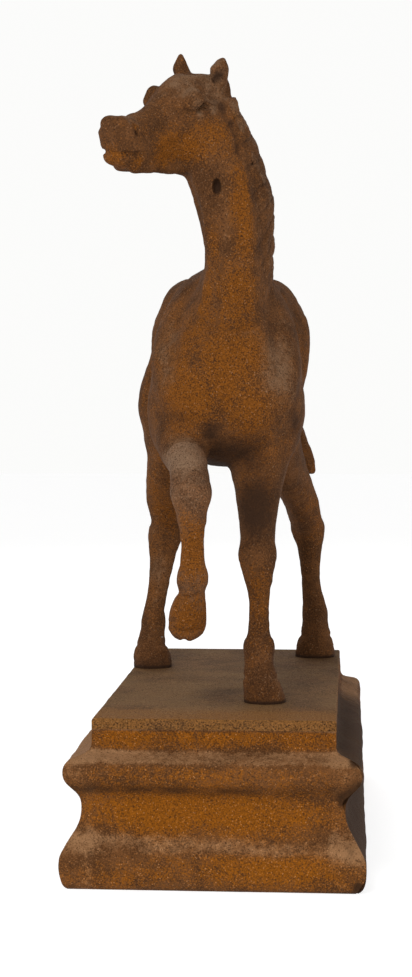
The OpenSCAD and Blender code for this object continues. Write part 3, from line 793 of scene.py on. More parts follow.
def parted(solid, planes, grow=0.0):
    """The separate surfaces of a solid, cut on each plane near its middle only, and their bmesh."""
    points, quads = solid.mesh(grow)
    mesh = bpy.data.meshes.new("skin")
    mesh.from_pydata(points.tolist(), [], quads.tolist())
    work = bmesh.new()
    work.from_mesh(mesh)
    bpy.data.meshes.remove(mesh)
    for middle, way, radius in planes:
        middle, way = Vector(middle), Vector(way)
        reach = radius * 1.55 + 3
        near = [f for f in work.faces if (f.calc_center_median() - middle).length < reach]
        parts = set(near)
        for f in near:
            parts.update(f.edges)
            parts.update(f.verts)
        cut = bmesh.ops.bisect_plane(work, geom=list(parts), plane_co=middle, plane_no=way,
                                     dist=1e-5)["geom_cut"]
        edges = [g for g in cut if isinstance(g, bmesh.types.BMEdge)]
        loops = joined_groups(edges, lambda edge: [e for v in edge.verts for e in v.link_edges])

        def off_centre(loop):
            ends = [v.co for e in loop for v in e.verts]
            return (sum(ends, Vector()) / len(ends) - middle).length - len(loop) * 0.05
        bmesh.ops.split_edges(work, edges=min(loops, key=off_centre))
    parts = joined_groups(work.faces, lambda face: [f for e in face.edges for f in e.link_faces])
    return work, parts


def sealed(work, caps, sharp):
    """A bmesh with its normals outward, its caps in triangles and these edges kept sharp."""
    for edge in sharp:
        edge.smooth = False
    bmesh.ops.recalc_face_normals(work, faces=list(work.faces))
    bmesh.ops.triangulate(work, faces=caps)
    return work


def closed_piece(faces):
    """A bmesh of these faces alone, with each open loop capped flat and its rim kept sharp."""
    verts = {}
    made = bmesh.new()
    for face in faces:
        for v in face.verts:
            if v not in verts:
                verts[v] = made.verts.new(v.co)
        made.faces.new([verts[v] for v in face.verts])
    rim = [e for e in made.edges if e.is_boundary]
    if rim:
        sealed(made, bmesh.ops.holes_fill(made, edges=rim, sides=0)["faces"], rim)
    return made


def best_island(parts, node):
    """The surface whose box lies nearest to a CAD node's box."""
    low, high = box_mm(node)

    def misfit(faces):
        at = np.array([f.verts[0].co[:] for f in faces])
        return np.abs(at.min(0) - low).sum() + np.abs(at.max(0) - high).sum()
    return min(parts, key=misfit)


PIECES = []


def finish_piece(name, work, node, slot, roughen, paint):
    """Roughens and paints a closed bmesh in millimetres, and makes the Blender piece of it."""
    mesh = bpy.data.meshes.new(name)
    for face in work.faces:
        face.smooth = True
    work.to_mesh(mesh)
    work.free()
    at, out = np.empty((2, len(mesh.vertices), 3))
    mesh.vertices.foreach_get("co", at.ravel())
    mesh.vertices.foreach_get("normal", out.ravel())
    moved = at + out * roughen(at, out)[:, None]
    mesh.vertices.foreach_set("co", (moved * MM).ravel())
    for layer, values in paint(at, out).items():
        store = mesh.attributes.new(layer, "FLOAT", "POINT")
        store.data.foreach_set("value", np.clip(values, 0, 1).astype(np.float32))
    mesh.update()
    piece = bpy.data.objects.new(name, mesh)
    bpy.context.scene.collection.objects.link(piece)
    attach(piece, "root")
    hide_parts(node)
    PIECES.append((piece, slot))


def still_at(planes, at):
    """1 away from the cuts and 0 on them, so that neighbours still meet after roughening."""
    share = np.ones(len(at))
    for middle, way, radius in planes:
        off = at - middle
        close = np.linalg.norm(off, axis=1) < radius * 2
        share = np.where(close, np.minimum(share, ramp(0, 2.5, np.abs(off @ way))), share)
    return share


def spots(at, list_of):
    """The strongest of several soft spots. Each is x, y, height, three radii and a strength."""
    total = np.zeros(len(at))
    for x, y, height, rx, ry, rz, strength in list_of:
        off = (at - (x, y, DECK + height)) / (rx, ry, rz)
        total = np.maximum(total, strength * np.exp(-(off ** 2).sum(1)))
    return total


# Rust spots: x, y, height above the deck, three radii and strength.
ORANGE = [
    (6, -118, 200, 22, 30, 34, 0.8), (-16, -112, 178, 20, 30, 20, 0.75),
    (20, -112, 172, 18, 30, 26, 0.7), (-22, -108, 205, 14, 26, 24, 0.5),
    (12, -112, 236, 14, 26, 22, 0.7), (-10, -112, 240, 6, 20, 26, 0.75),
    (13, -112, 300, 7, 22, 30, 0.65), (15, -112, 268, 7, 20, 20, 0.65),
    (-3, -112, 262, 5, 20, 20, 0.45), (10, -108, 322, 7, 18, 16, 0.45),
    (-14, -136, 96, 14, 20, 24, 0.75), (-17, -116, 56, 16, 20, 18, 1.0),
    (-48, 60, 120, 22, 30, 30, 0.45), (50, 120, 110, 20, 30, 30, 0.4),
    (24, -90, 60, 14, 16, 24, 0.35), (20, -90, 118, 12, 16, 10, 0.3),
    (-30, -20, 180, 40, 60, 40, 0.4), (40, 20, 190, 40, 50, 40, 0.45),
    (-4, 130, 200, 30, 20, 40, 0.5), (0, 40, 262, 26, 60, 12, 0.4),
]
# Spots of dust and of painted highlight, in the same form.
DUST_AND_HIGHLIGHT = [
    (-22, -118, 140, 16, 26, 14, 0.9), (-16, -134, 124, 13, 20, 16, 0.6),
    (34, -108, 196, 14, 26, 30, 0.75), (-32, -104, 210, 12, 26, 34, 0.6),
    (48, -40, 210, 16, 60, 50, 0.5), (-48, -40, 210, 16, 60, 50, 0.45),
    (24, -90, 10, 18, 20, 14, 0.4), (4, -112, 268, 7, 20, 26, 0.35),
    (-50, 70, 60, 14, 30, 30, 0.5),
]
# Painted shade spots, in the same form: in the core-pin hole, under the chest and belly, behind the
# elbows, and round the hooves on the deck.
DARK = [
    (-1.2, -112, 297.5, 2.6, 8, 4.4, 0.75), (20, -102, 114, 16, 34, 22, 1.0),
    (2, -112, 148, 24, 34, 14, 0.5), (-26, -118, 166, 14, 26, 7, 0.6),
    (22, -102, 124, 16, 34, 16, 0.7), (19, -104, 138, 14, 34, 11, 0.6),
    (-5, -122, 158, 7, 34, 9, 0.8), (17, -120, 141, 14, 34, 10, 1.0), (43, -90, 163, 4, 26, 10, 0.7),
    (0, -60, 140, 30, 40, 18, 0.7), (-34, -96, 168, 7, 24, 16, 0.4),
    (-56, 60, 3, 18, 20, 6, 0.8), (25, -90, 0, 18, 20, 4, 0.6), (51, 121, 0, 18, 20, 4, 0.6),
    (-4, -112, 132, 22, 30, 12, 0.8), (-44, -80, 150, 8, 30, 18, 0.4), (44, -60, 150, 8, 30, 20, 0.4),
    (0, 60, 160, 30, 60, 20, 0.5),
]


def head_spots(list_of):
    """Spots given by a place on the head, one radius and a strength, in the form above."""
    return [(*(on_head(along, left, up) - (0, 0, DECK)), radius, radius, radius, strength)
            for along, left, up, radius, strength in list_of]


# Orange on the head; on the lips, the cheeks and the rims of the nostrils it is painted highlight as well
# as rust.
ORANGE += head_spots([
    (54, 14, -28, 10, 1.2), (42, 18, -32, 10, 0.8), (26, 24, -26, 14, 0.5), (20, 24, -42, 12, 0.3),
    (82, 2, -23, 6, 0.9), (78, 10, -25, 6, 0.6), (74, 10, -7, 3, 0.5), (10, 22, -28, 10, 0.2),
    (50, -14, -26, 14, 0.6), (22, -24, -30, 16, 0.6),
])
# On the head these are painted highlights: on the poll and brow, along the top of the nose and round each
# eye.
DUST_AND_HIGHLIGHT += head_spots([
    (10, 14, -6, 14, 0.7), (26, 10, 0, 16, 0.55), (70, 4, -8, 14, 0.35), (31, 18, -10, 8, 0.5),
    (21, 20, -8, 4, 0.8), (30, 18, -16, 4, 0.7), (20, 20, -17, 4, 0.7),
])
# Painted shade on the head: in the eyes, nostrils and ear hollows, at the mouth, in the grooves behind and
# under the jaw, and in the dips of the face.
DARK += head_spots([
    (12, 20, -18, 5, 0.65), (11, 20, -29, 5.5, 0.65), (13, 18, -40, 6, 0.45), (66, 12, -22, 6, 0.4),
    (44, 0, -42, 10, 0.4), (9, 19, -2, 4.5, 0.95), (9, -19, -2, 4.5, 0.95),
    (74.8, 11.5, -10.2, 1.8, 0.9), (74.8, -11.5, -10.2, 1.8, 0.9),
    (26, 18.5, -14, 1.6, 0.45), (26, -18.5, -14, 1.6, 0.45), (40, 15, -13, 7, 0.35),
    (78, 11, -22, 2.4, 0.7), (62, 8, -4, 8, 0.4), (18, 12, -2, 5, 0.4), (78, 2, -10, 9, 0.35),
    (54, 8, -6, 12, 0.35), (60, 2, -38, 9, 0.35),
])


def painter(solid):
    """Rust, dust, painted highlight and painted shade for a horse casting, from spots, slopes and hollows.
    """
    def paint(at, out):
        hair = fallen(at)
        lock, strand = locks(at)
        hollow = solid.sample(solid.soft, at) * 2 - 1
        wide = lumps(at, 14, 21)
        fine = lumps(at, 3.5, 22)
        orange = spots(at, ORANGE) + 0.22 * wide + 0.12 * fine + 0.1
        # Dust, with a painted highlight on what faces up.
        dust = spots(at, DUST_AND_HIGHLIGHT) + 0.35 * ramp(0.35, 0.95, out[:, 2]) + 0.15 * lumps(at, 9, 23)
        # Painted shade: the spots above, in hollows, and on what faces down.
        dark = spots(at, DARK) + 0.6 * ramp(0.12, 0.6, hollow)
        dark += 0.3 * ramp(-0.3, -0.95, out[:, 2])
        # Painted shadow in the corner where the hooves meet the deck.
        dark += 0.7 * ramp(DECK + 2.2, DECK + 0.4, at[:, 2])
        dust += hair * 0.25
        # Painted shade in the grooves between the locks of the mane cast on the neck.
        dark += hair * (0.45 * lock + 0.15 * strand)
        return {"orange": orange * (1 - 0.5 * hair), "dust": dust, "dark": dark}
    return paint


def roughener(planes, seed, amount):
    """Casting roughness in a few sizes, in millimetres along the skin's normal."""
    def roughen(at, out):
        rough = 0.22 * lumps(at, 9, seed) + 0.2 * lumps(at, 4.2, seed + 1)
        rough += 0.15 * lumps(at, 2.3, seed + 2)
        hoof = 1 + 0.9 * ramp(22, 14, at[:, 2] - DECK)
        return rough * hoof * still_at(planes, at) * amount
    return roughen


LEGS = ["left_foreleg", "right_foreleg", "left_hind_leg", "right_hind_leg"]
cuts = {name: end_plane(name, "torso") for name in LEGS + ["neck", "tail"]}
cuts["head"] = end_plane("head", "neck")
for side, name in ((1, "left_ear"), (-1, "right_ear")):
    way = UP * 0.94 + NEAR * side * 0.34
    cuts[name] = (on_head(3.2, side * 14.2, -3.2), way / np.linalg.norm(way), 6.5)
feet = []
for name in LEGS:
    if name != "right_foreleg":
        middle, half = middle_at(name, 0.4)
        feet.append((np.array((middle[0], middle[1], DECK)), np.array((0, 0, 1.0)), half[0] * 1.1))
ALL_CUTS = list(cuts.values()) + feet

for solid, names, cut_at, amount in (
        (body, ["torso"] + LEGS, [cuts[name] for name in LEGS + ["neck", "tail"]] + feet, 1.0),
        (bust, ["neck", "head", "left_ear", "right_ear"],
         [cuts[name] for name in ("neck", "head", "left_ear", "right_ear")], 0.85),
        (brush, ["tail"], [cuts["tail"]], 1.0)):
    work, parts = parted(solid, cut_at)
    for name in names:
        slot = "raised_leg_rust" if name == "right_foreleg" else "horse_rust"
        finish_piece(name + "_casting", closed_piece(best_island(parts, name)), name, slot,
                     roughener(ALL_CUTS, 11, amount), painter(solid))
    work.free()


def mane_paint(at, out):
    lock, strand = locks(at)
    # Its dark layer is painted shade in the grooves between locks and strands, with some random tone.
    return {"orange": 0.2 + 0.3 * lumps(at, 8, 31), "dust": 0.35 + 0.3 * lumps(at, 6, 32),
            "dark": 0.45 * lock + 0.15 * strand + 0.15 * lumps(at, 3, 33)}


work, parts = parted(mane, [], grow=0.35)
finish_piece("mane_casting", closed_piece(best_island(parts, "mane")), "mane", "mane_rust",
             roughener([], 15, 0.9), mane_paint)
work.free()


# --- plinth

deck_low, deck_high = box_mm("deck_plate")
deck_w, deck_l, _ = deck_high - deck_low
UNDER = deck_low[2]
OUT_MAX = -box_mm("front_panel")[0][1] + deck_low[1]
WALL = 6.0
# The moulding's outline: how far it stands out past the deck's edge, and its height.
OUTLINE = [
    (0.72, 0), (0.80, 0.6), (0.90, 3), (0.965, 8), (0.99, 13), (0.985, 17), (0.93, 20.2),
    (0.86, 22), (0.75, 25.5), (0.58, 30), (0.44, 34), (0.35, 37.6), (0.315, 41), (0.31, 45),
    (0.34, 48.6), (0.42, 51.6), (0.56, 54.6), (0.72, 57.6), (0.82, 60.2), (0.87, 63),
    (0.875, 66), (0.835, 68.8), (0.75, 70.6), (0.6, 71.9), (0.36, 73.1), (0.14, 74.4),
    (0.04, 76), (0.0, 78.4), (0.005, 82), (0.0, 85.2), (0.0, UNDER)
]


def join_columns(work, columns, closed):
    """Faces between columns of points, closed round each column or open."""
    for a, b in zip(columns[:-1], columns[1:]):
        for j in range(len(a) if closed else len(a) - 1):
            k = (j + 1) % len(a)
            work.faces.new([a[j], b[j], b[k], a[k]])


def resampled(points, spacing):
    """Points at even steps along a line of straight parts."""
    points = np.array(points, float)
    lengths = np.concatenate([[0], np.cumsum(np.linalg.norm(np.diff(points, axis=0), axis=1))])
    steps = np.linspace(0, lengths[-1], int(round(lengths[-1] / spacing)) + 1)
    return np.stack([np.interp(steps, lengths, points[:, i]) for i in range(2)], axis=1)


def softened_line(points):
    """Rounds the corners of a line, with its ends kept."""
    for _ in range(2):
        inner = (points[:-2] + 2 * points[1:-1] + points[2:]) / 4
        points = np.concatenate([points[:1], inner, points[-1:]])
    return points


FACE = softened_line(resampled([(a * OUT_MAX, b) for a, b in OUTLINE], 1.5))
BACK = np.array([(-WALL, UNDER), (-WALL, UNDER * 0.66), (-WALL, UNDER * 0.33), (-WALL, 0.0)])
SECTION = np.concatenate([FACE, BACK])


def panel(turn, length, reach, gaps):
    """One moulded side with mitred ends. Each gap is an end, a height, a width and a spread."""
    columns = int(length / PANEL_SPACING)
    shares = np.linspace(-1, 1, columns + 1)
    rows = len(SECTION)
    out, height = SECTION[:, 0], SECTION[:, 1]
    face = np.arange(rows) < len(FACE)
    half = length / 2 + out
    u = shares[:, None] * half[None, :]
    o = np.repeat(out[None, :], columns + 1, axis=0)
    z = np.repeat(height[None, :], columns + 1, axis=0)
    angle = math.radians(turn)
    cos, sin = math.cos(angle), math.sin(angle)

    def placed(u, o, z):
        x, y = u, -(reach + o)
        return np.stack([x * cos - y * sin, x * sin + y * cos, z], axis=-1)
    at = placed(u, o, z).reshape(-1, 3)
    # Slow waves in the casting and dents along its edges, the same where two panels meet.
    wave = 0.55 * lumps(at * (1, 1, 1.6), 34, 51) + 0.3 * lumps(at, 13, 52)
    wave += 0.2 * lumps(at, 5, 53) + 0.12 * lumps(at, 2.6, 54)
    wave = wave.reshape(o.shape)
    sag = (0.5 * lumps(at, 45, 55) + 0.25 * lumps(at, 12, 56)).reshape(o.shape)
    rim = np.clip(np.minimum(z, UNDER - z) / 6, 0, 1)
    o = o + np.where(face, wave * (0.35 + 0.65 * rim), 0)
    z = z + np.where(face, sag * rim, 0)
    # The mitres stand open a little, and more at old gaps.
    near_end = np.abs(shares)[:, None] ** 60
    for end in (-1, 1):
        here = np.where(np.sign(shares)[:, None] == end, near_end, 0)
        opening = 0.16 + 0.1 * np.sin(z * 0.3 + end)
        for which, middle, width, spread in gaps:
            if which == end:
                opening = opening + width * np.exp(-((z - middle) / spread) ** 2)
        u = u - end * here * np.where(face, opening, 0.16)
    grid = placed(u, o, z)
    work = bmesh.new()
    verts = [[work.verts.new(p) for p in column] for column in grid.tolist()]
    join_columns(work, verts, True)
    caps = [work.faces.new(column) for column in (verts[0], verts[-1])]
    sharp = [edge for cap in caps for edge in cap.edges]
    for row in (0, len(FACE) - 1, len(FACE), rows - 1):
        sharp += [work.edges.get((a[row], b[row])) for a, b in zip(verts[:-1], verts[1:])]
    return sealed(work, caps, sharp)


PLINTH_ORANGE = [
    (-30, -170, -50, 44, 20, 17, 1.0), (10, -170, -52, 50, 20, 15, 0.8), (44, -170, -50, 26, 20, 12, 0.5),
    (30, -180, -80, 50, 20, 11, 0.7), (-40, -180, -84, 40, 20, 9, 0.35), (0, -165, -10, 90, 20, 7, 0.7),
    (-20, -178, -30, 50, 20, 7, 0.4), (-85, 40, -50, 20, 90, 16, 0.7), (85, -30, -50, 20, 60, 14, 0.4),
    (85, 90, -50, 20, 50, 14, 0.6), (0, 175, -50, 60, 20, 16, 0.7), (20, 175, -82, 60, 20, 10, 0.5),
]
# Painted shade spots, in the same form: under the deck's edge, in a band across the front, in the open
# seams of the front corner and on the left side.
PLINTH_DARK = [
    (0, -160, -6, 90, 8, 2.2, 0.5), (80, -172, -40, 8, 12, 50, 0.5), (-30, -166, -38, 60, 14, 4, 0.35),
    (85, -90, -30, 20, 70, 40, 0.35), (78, -171, -21, 3.5, 8, 3.2, 1.3), (71, -169, -44, 3, 8, 5, 1.3),
    (84, -160, -44, 14, 16, 13, 1.0), (80, -178, -89, 3.2, 8, 4, 1.3), (76, -176, -70, 2, 8, 10, 0.6),
]


def plinth_paint(at, out):
    wide = lumps(at, 26, 61)
    fine = lumps(at, 5, 62)
    # What faces up gets dust and a painted highlight, and less orange.
    flat = ramp(0.3, 0.9, out[:, 2])
    orange = spots(at, PLINTH_ORANGE) + 0.2 * wide + 0.1 * fine + 0.12
    dust = 0.85 * flat * (0.75 + 0.4 * wide) + 0.15 * lumps(at, 11, 63)
    # A pale streak along the shoulder of the base, a painted highlight laid into the dust layer, and dust
    # by the open front corner.
    streak = (at[:, 2] - 24 + 1.5 * wide + at[:, 0] * 0.03) / 5.5
    past = (at[:, 0] - deck_w / 2) + (at[:, 1] + deck_l / 2)
    corner = ramp(61, 67, np.abs(at[:, 0])) * ramp(3, 0, past)
    dust += 0.42 * np.exp(-streak ** 2) + 0.3 * corner
    # Painted shade: the dark spots, and more on what faces down; with a fine random tone.
    dark = spots(at, PLINTH_DARK) + 0.5 * ramp(-0.25, -0.9, out[:, 2]) + 0.15 * fine
    # Painted shade on the left side, behind the open corner seam.
    dark += 0.85 * ramp(0, 3, past) * ramp(62, 70, at[:, 0]) * ramp(140, 20, at[:, 1])
    return {"orange": orange - 0.4 * flat, "dust": dust, "dark": dark}


def still(at, out):
    return np.zeros(len(at))


# Each side's turn, length and distance from the middle, and its gaps.
SIDES = {
    "front_panel": (0, deck_w, deck_l / 2, [(1, 72, 1.6, 5), (1, 49, 2.2, 4), (1, 3, 1.8, 4)]),
    "left_panel": (90, deck_l, deck_w / 2, [(-1, 72, 0.9, 5), (-1, 49, 1.2, 4), (-1, 3, 1.2, 4)]),
    "rear_panel": (180, deck_w, deck_l / 2, [(1, 60, 0.6, 10)]),
    "right_panel": (270, deck_l, deck_w / 2, [(-1, 30, 0.5, 10)]),
}
for name, (turn, length, reach, gaps) in SIDES.items():
    finish_piece(name + "_moulding", panel(turn, length, reach, gaps), name,
                 "plinth_rust", still, plinth_paint)


def edge_lines(low, high):
    """Lines across the deck, close together where its edge is rounded."""
    rim = np.array([0, 0.25, 0.7, 1.3, 2.0, 3.2])
    inner = np.linspace(low + 5, high - 5, int((high - low - 10) / DECK_SPACING) + 1)
    return np.concatenate([low + rim, inner, high - rim[::-1]])


def deck():
    """The deck plate: a wavy top with worn edges, straight sides and a flat underside."""
    xs = edge_lines(deck_low[0], deck_high[0])
    ys = edge_lines(deck_low[1], deck_high[1])
    x, y = np.meshgrid(xs, ys, indexing="ij")
    inset = np.minimum(np.minimum(x - deck_low[0], deck_high[0] - x),
                       np.minimum(y - deck_low[1], deck_high[1] - y))
    flat = np.stack([x, y, np.full(x.shape, DECK)], axis=-1).reshape(-1, 3)
    worn = 1.3 + 0.5 * lumps(flat, 12, 71).reshape(x.shape)
    drop = worn - np.sqrt(np.maximum(worn ** 2 - np.maximum(worn - inset, 0) ** 2, 0))
    wave = 0.22 * lumps(flat, 22, 72) + 0.14 * lumps(flat, 7, 73)
    level = DECK - 0.12 - drop + wave.reshape(x.shape) * np.clip(inset / 6, 0, 1) * 0.8
    columns, rows = x.shape
    work = bmesh.new()
    top = [[work.verts.new((x[i, j], y[i, j], level[i, j])) for j in range(rows)]
           for i in range(columns)]
    join_columns(work, top, False)
    ring = [top[i][0] for i in range(columns)] + [top[-1][j] for j in range(1, rows)]
    ring += [top[i][-1] for i in range(columns - 2, -1, -1)]
    ring += [top[0][j] for j in range(rows - 2, 0, -1)]
    upper = ring
    for height in (UNDER + 3.6, UNDER + 2.4, UNDER + 1.2, UNDER):
        push = 0.25 + 0.25 * lumps(np.array([(v.co.x, v.co.y, height) for v in ring]), 6, 74)
        lower = []
        for v, inward in zip(ring, push):
            x, y = v.co.x, v.co.y
            if abs(x / deck_w) > abs(y / deck_l):
                x -= math.copysign(inward, x)
            else:
                y -= math.copysign(inward, y)
            lower.append(work.verts.new((x, y, height)))
        join_columns(work, [upper, lower], True)
        upper = lower
    bottom = work.faces.new(upper)
    return sealed(work, [bottom], bottom.edges)


def deck_paint(at, out):
    top = ramp(0.5, 0.9, out[:, 2])
    front = ramp(-100, -150, at[:, 1])
    wide = lumps(at, 24, 81)
    fine = lumps(at, 6, 82)
    orange = top * (0.12 + front * 0.95) + (1 - top) * 0.6 + 0.2 * wide + 0.1 * fine
    # What faces up gets dust and a painted highlight, less towards the front.
    dust = top * (0.66 - 0.4 * front + 0.25 * wide) + (0.1 * fine - 0.3) * (1 - top)
    # Painted shadow round the three standing hooves.
    feet_shadow = spots(at, [(-56, 62, 0, 15, 17, 9, 0.7), (26, -88, 0, 15, 17, 9, 0.7),
                         (52, 123, 0, 16, 17, 9, 0.7)])
    # Painted shade where the top rolls off at the worn edge, and on the sides.
    edge = 0.3 * ramp(0.98, 0.7, out[:, 2]) * top
    return {"orange": orange, "dust": dust, "dark": feet_shadow + edge + (1 - top) * 0.35}


finish_piece("deck_casting", deck(), "deck_plate", "deck_rust", still, deck_paint)


# --- materials

class Nodes:
    """Short names for building a material's nodes."""

    def __init__(self, name):
        self.material = bpy.data.materials.new(name)
        self.material.use_nodes = True
        self.tree = self.material.node_tree
        self.tree.nodes.clear()
        self.place = self.new("ShaderNodeTexCoord").outputs["Object"]

    def new(self, kind, **settings):
        node = self.tree.nodes.new(kind)
        for key, value in settings.items():
            setattr(node, key, value)
        return node

    def join(self, source, target):
        if hasattr(source, "node"):
            self.tree.links.new(source, target)
        else:
            target.default_value = source

    def texture(self, kind, output, **inputs):
        node = self.new(kind)
        self.join(self.place, node.inputs["Vector"])
        for name, value in inputs.items():
            node.inputs[name].default_value = value
        return node.outputs[output]

    def noise(self, scale, detail=3.0, rough=0.6, twist=0.0):
        return self.texture("ShaderNodeTexNoise", "Fac", Scale=scale, Detail=detail, Roughness=rough,
                            Distortion=twist)

    def cells(self, scale):
        return self.texture("ShaderNodeTexVoronoi", "Distance", Scale=scale)

    def painted(self, layer):
        return self.new("ShaderNodeAttribute", attribute_name=layer).outputs["Fac"]

    def math(self, operation, a, b=0.0, c=0.0):
        node = self.new("ShaderNodeMath", operation=operation)
        for i, value in enumerate((a, b, c)):
            self.join(value, node.inputs[i])
        return node.outputs[0]

    def swayed(self, base, noise, amount):
        """A value that a noise moves up and down."""
        return self.math("MULTIPLY_ADD", self.math("SUBTRACT", noise, 0.5), amount, base)

    def range(self, value, low, high, to_low=0.0, to_high=1.0):
        node = self.new("ShaderNodeMapRange", interpolation_type="SMOOTHSTEP")
        for i, part in enumerate((value, low, high, to_low, to_high)):
            self.join(part, node.inputs[i])
        return node.outputs[0]

    def mix(self, share, a, b):
        node = self.new("ShaderNodeMix", data_type="RGBA")
        self.join(share, node.inputs[0])
        self.join(a, node.inputs[6])
        self.join(b, node.inputs[7])
        return node.outputs[2]

    def bump(self, height, distance, strength, under=None):
        node = self.new("ShaderNodeBump")
        node.inputs["Strength"].default_value = strength
        node.inputs["Distance"].default_value = distance
        self.join(height, node.inputs["Height"])
        if under is not None:
            self.join(under, node.inputs["Normal"])
        return node.outputs["Normal"]

    def surface(self, colour, roughness, normal, metallic=0.0, gloss=0.1, glow=0.0):
        shader = self.new("ShaderNodeBsdfPrincipled")
        self.join(colour, shader.inputs["Base Color"])
        self.join(roughness, shader.inputs["Roughness"])
        self.join(normal, shader.inputs["Normal"])
        shader.inputs["Metallic"].default_value = metallic
        shader.inputs["Specular IOR Level"].default_value = gloss
        shader.inputs["Emission Color"].default_value = (1, 1, 1, 1)
        shader.inputs["Emission Strength"].default_value = glow
        end = self.new("ShaderNodeOutputMaterial")
        self.tree.links.new(shader.outputs[0], end.inputs["Surface"])
        return self.material


def toned(colour, gain):
    """A colour made lighter or darker."""
    return tuple(min(1.0, c * gain) for c in colour[:3]) + (1,)


def rust(name, brown, orange, dust, dark, depth=1.0, grain=1.0, salty=0.65):
    """Dry, granular rust. The painted layers say where it is orange, where it has dust and painted
    highlight, and where it has painted shade.
    """
    n = Nodes(name)
    fine = n.noise(1150 * grain, 2.0, 0.65)
    mid = n.noise(300 * grain, 4.0, 0.65)
    wide = n.noise(55, 4.0, 0.6, 0.3)
    grains = n.cells(620 * grain)
    pits = n.cells(240 * grain)
    # Base: brown that drifts between two tones, with a fine salt of lighter grains.
    base = n.mix(n.range(wide, 0.35, 0.68), toned(brown, 0.55), brown)
    base = n.mix(n.range(fine, 0.5, 0.72, 0.0, 0.75), base, toned(brown, 1.45))
    # Orange bloom, broken up by noise in three sizes.
    bloom = n.swayed(n.painted("orange"), mid, 1.1)
    bloom = n.swayed(n.swayed(bloom, fine, 1.3), wide, 0.6)
    warm = n.mix(n.range(fine, 0.42, 0.66), toned(orange, 0.62), orange)
    warm = n.mix(n.range(grains, 0.28, 0.1, 0.0, 0.5), warm, toned(orange, 1.5))
    colour = n.mix(n.range(bloom, 0.12, 0.85, 0.0, 0.95), base, warm)
    # Dust and a painted highlight, from the painted layer that is strongest on what faces up, broken up by
    # noise.
    dust_and_highlight_share = n.swayed(n.swayed(n.painted("dust"), mid, 1.0), fine, 0.5)
    colour = n.mix(n.range(dust_and_highlight_share, 0.25, 0.95, 0.0, 0.85), colour, dust)
    # A salt of pale grains over everything.
    salt = n.math("MULTIPLY", n.range(grains, 0.3, 0.12), n.range(mid, 0.45, 0.62, 0.1, salty))
    colour = n.mix(salt, colour, toned(dust, 1.7))
    # Painted shade from the dark layer, in hollows, under things and in gaps, then dark specks and open
    # pits.
    painted_shade = n.swayed(n.painted("dark"), mid, 0.7)
    colour = n.mix(n.range(painted_shade, 0.15, 0.9, 0.0, 0.92), colour, dark)
    colour = n.mix(n.range(fine, 0.45, 0.32, 0.0, 0.2 + salty), colour, dark)
    open_pits = n.math("MULTIPLY", n.range(pits, 0.16, 0.06), n.range(wide, 0.5, 0.62))
    colour = n.mix(n.math("MULTIPLY", open_pits, 0.8), colour, dark)
    # Relief in three sizes, with depths in metres.
    normal = n.bump(mid, 0.0007 * depth, 0.55)
    normal = n.bump(n.math("SUBTRACT", fine, n.math("MULTIPLY", grains, 0.7)), 0.0004 * depth, 0.75,
                    normal)
    normal = n.bump(n.math("SUBTRACT", 1.0, open_pits), 0.0006 * depth, 0.6, normal)
    return n.surface(colour, n.range(fine, 0.3, 0.7, 0.98, 0.8), normal)


def tarnished_steel():
    """Old fittings inside: dull steel with brown bloom, scratches and grime."""
    n = Nodes("hidden_steel")
    fine = n.noise(900, 3.0, 0.6)
    wide = n.noise(90, 4.0, 0.65)
    colour = n.mix(n.range(wide, 0.45, 0.65), (0.24, 0.22, 0.2, 1), (0.12, 0.055, 0.025, 1))
    colour = n.mix(n.range(fine, 0.5, 0.7, 0.0, 0.6), colour, (0.05, 0.04, 0.035, 1))
    roughness = n.range(wide, 0.3, 0.7, 0.45, 0.85)
    return n.surface(colour, roughness, n.bump(fine, 0.0002, 0.5), metallic=0.6, gloss=0.5)


BROWN = (0.108, 0.043, 0.014, 1)
RUST_ORANGE = (0.19, 0.06, 0.005, 1)
TAN = (0.155, 0.087, 0.047, 1)
UMBER = (0.026, 0.012, 0.006, 1)
looks = {
    "horse_rust": rust("horse_rust", BROWN, RUST_ORANGE, TAN, UMBER),
    "mane_rust": rust("mane_rust", (0.112, 0.05, 0.021, 1), (0.2, 0.075, 0.012, 1),
                      (0.15, 0.088, 0.05, 1), UMBER, grain=0.9, salty=0.5),
    "raised_leg_rust": rust("raised_leg_rust", (0.15, 0.068, 0.03, 1), RUST_ORANGE,
                            (0.195, 0.118, 0.07, 1), UMBER),
    "deck_rust": rust("deck_rust", (0.13, 0.062, 0.024, 1), (0.27, 0.115, 0.028, 1),
                      (0.182, 0.1, 0.04, 1), UMBER, depth=0.9, grain=0.9, salty=0.75),
    "plinth_rust": rust("plinth_rust", (0.135, 0.053, 0.016, 1), (0.26, 0.08, 0.003, 1),
                        (0.29, 0.15, 0.068, 1), (0.034, 0.015, 0.006, 1), depth=1.1, salty=0.5),
    "hidden_steel": tarnished_steel(),
}
for piece, slot in PIECES:
    piece.data.materials.append(looks[slot])
slot_of = {}
for entry in frame["record"]["materials"]:
    for node in entry.get("nodes", []):
        slot_of[node] = entry["slot"]
for name, node in frame["nodes"].items():
    look = looks[slot_of.get(name, "hidden_steel")]
    if not node.material_slots:
        node.data.materials.append(look)
    for place in node.material_slots:
        place.material = look


# --- floor, light and camera

scene = bpy.context.scene
low, high = cad_box

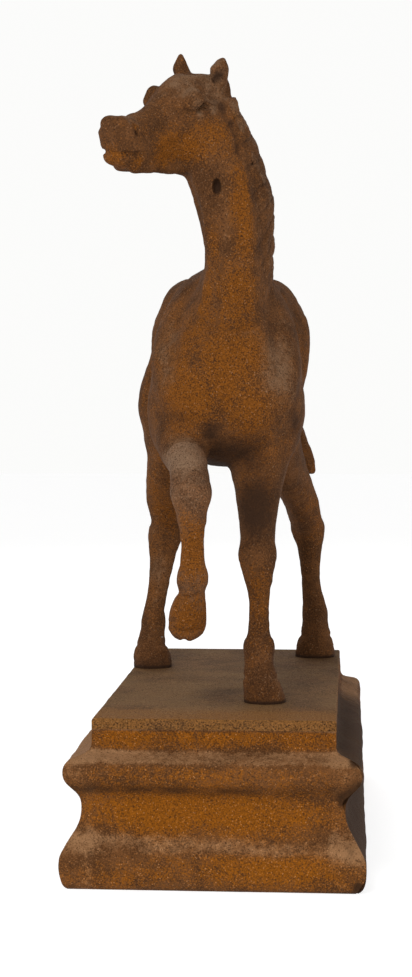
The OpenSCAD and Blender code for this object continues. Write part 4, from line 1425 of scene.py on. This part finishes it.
floor_mesh = bpy.data.meshes.new("floor")
floor_work = bmesh.new()
bmesh.ops.create_grid(floor_work, x_segments=8, y_segments=8, size=6)
floor_work.to_mesh(floor_mesh)
floor_work.free()
floor = bpy.data.objects.new("floor", floor_mesh)
floor.location = (0, 0, low.z - 0.0002)
scene.collection.objects.link(floor)
pale = Nodes("pale_floor")
floor_mesh.materials.append(pale.surface(
    pale.mix(pale.noise(3.0), (0.36, 0.36, 0.36, 1), (0.4, 0.4, 0.4, 1)), 0.9,
    pale.bump(pale.noise(60), 0.001, 0.05), gloss=0.1, glow=0.8))

# The studio is bright round the horizon and dimmer overhead.
world = bpy.data.worlds.new("studio")
world.use_nodes = True
air = world.node_tree
backdrop = air.nodes["Background"]
backdrop.inputs[0].default_value = (1.0, 1.0, 0.99, 1)
place = air.nodes.new("ShaderNodeTexCoord")
split = air.nodes.new("ShaderNodeSeparateXYZ")
level = air.nodes.new("ShaderNodeMapRange")
for name, value in (("From Min", 0.27), ("From Max", 0.5), ("To Min", 0.97), ("To Max", 0.3)):
    level.inputs[name].default_value = value
air.links.new(place.outputs["Generated"], split.inputs[0])
air.links.new(split.outputs["Z"], level.inputs["Value"])
air.links.new(level.outputs[0], backdrop.inputs["Strength"])
scene.world = world


def area_light(name, place, size, power):
    """A soft square light, aimed at the middle of the statue."""
    data = bpy.data.lights.new(name, "AREA")
    data.shape = "SQUARE"
    data.size = size
    data.energy = power
    lamp = bpy.data.objects.new(name, data)
    lamp.location = place
    aim = Vector((0, 0, (low.z + high.z) / 2)) - Vector(place)
    lamp.rotation_euler = aim.to_track_quat("-Z", "Y").to_euler()
    scene.collection.objects.link(lamp)


area_light("key", (-0.4, -1.5, 1.35), 0.7, 21)
area_light("fill", (1.6, -0.6, 0.9), 1.2, 5)
area_light("back", (-0.3, 1.6, 1.4), 1.4, 9)

camera_data = bpy.data.cameras.new("camera")
camera_data.lens = 73.9
camera_data.sensor_width = 36
camera = bpy.data.objects.new("camera", camera_data)
camera.location = (0.075, -1.2585, 0.270)
camera.rotation_euler = Vector((-0.072, 1, -0.0446)).to_track_quat("-Z", "Y").to_euler()
scene.collection.objects.link(camera)
scene.camera = camera
scene.view_settings.view_transform = "Standard"
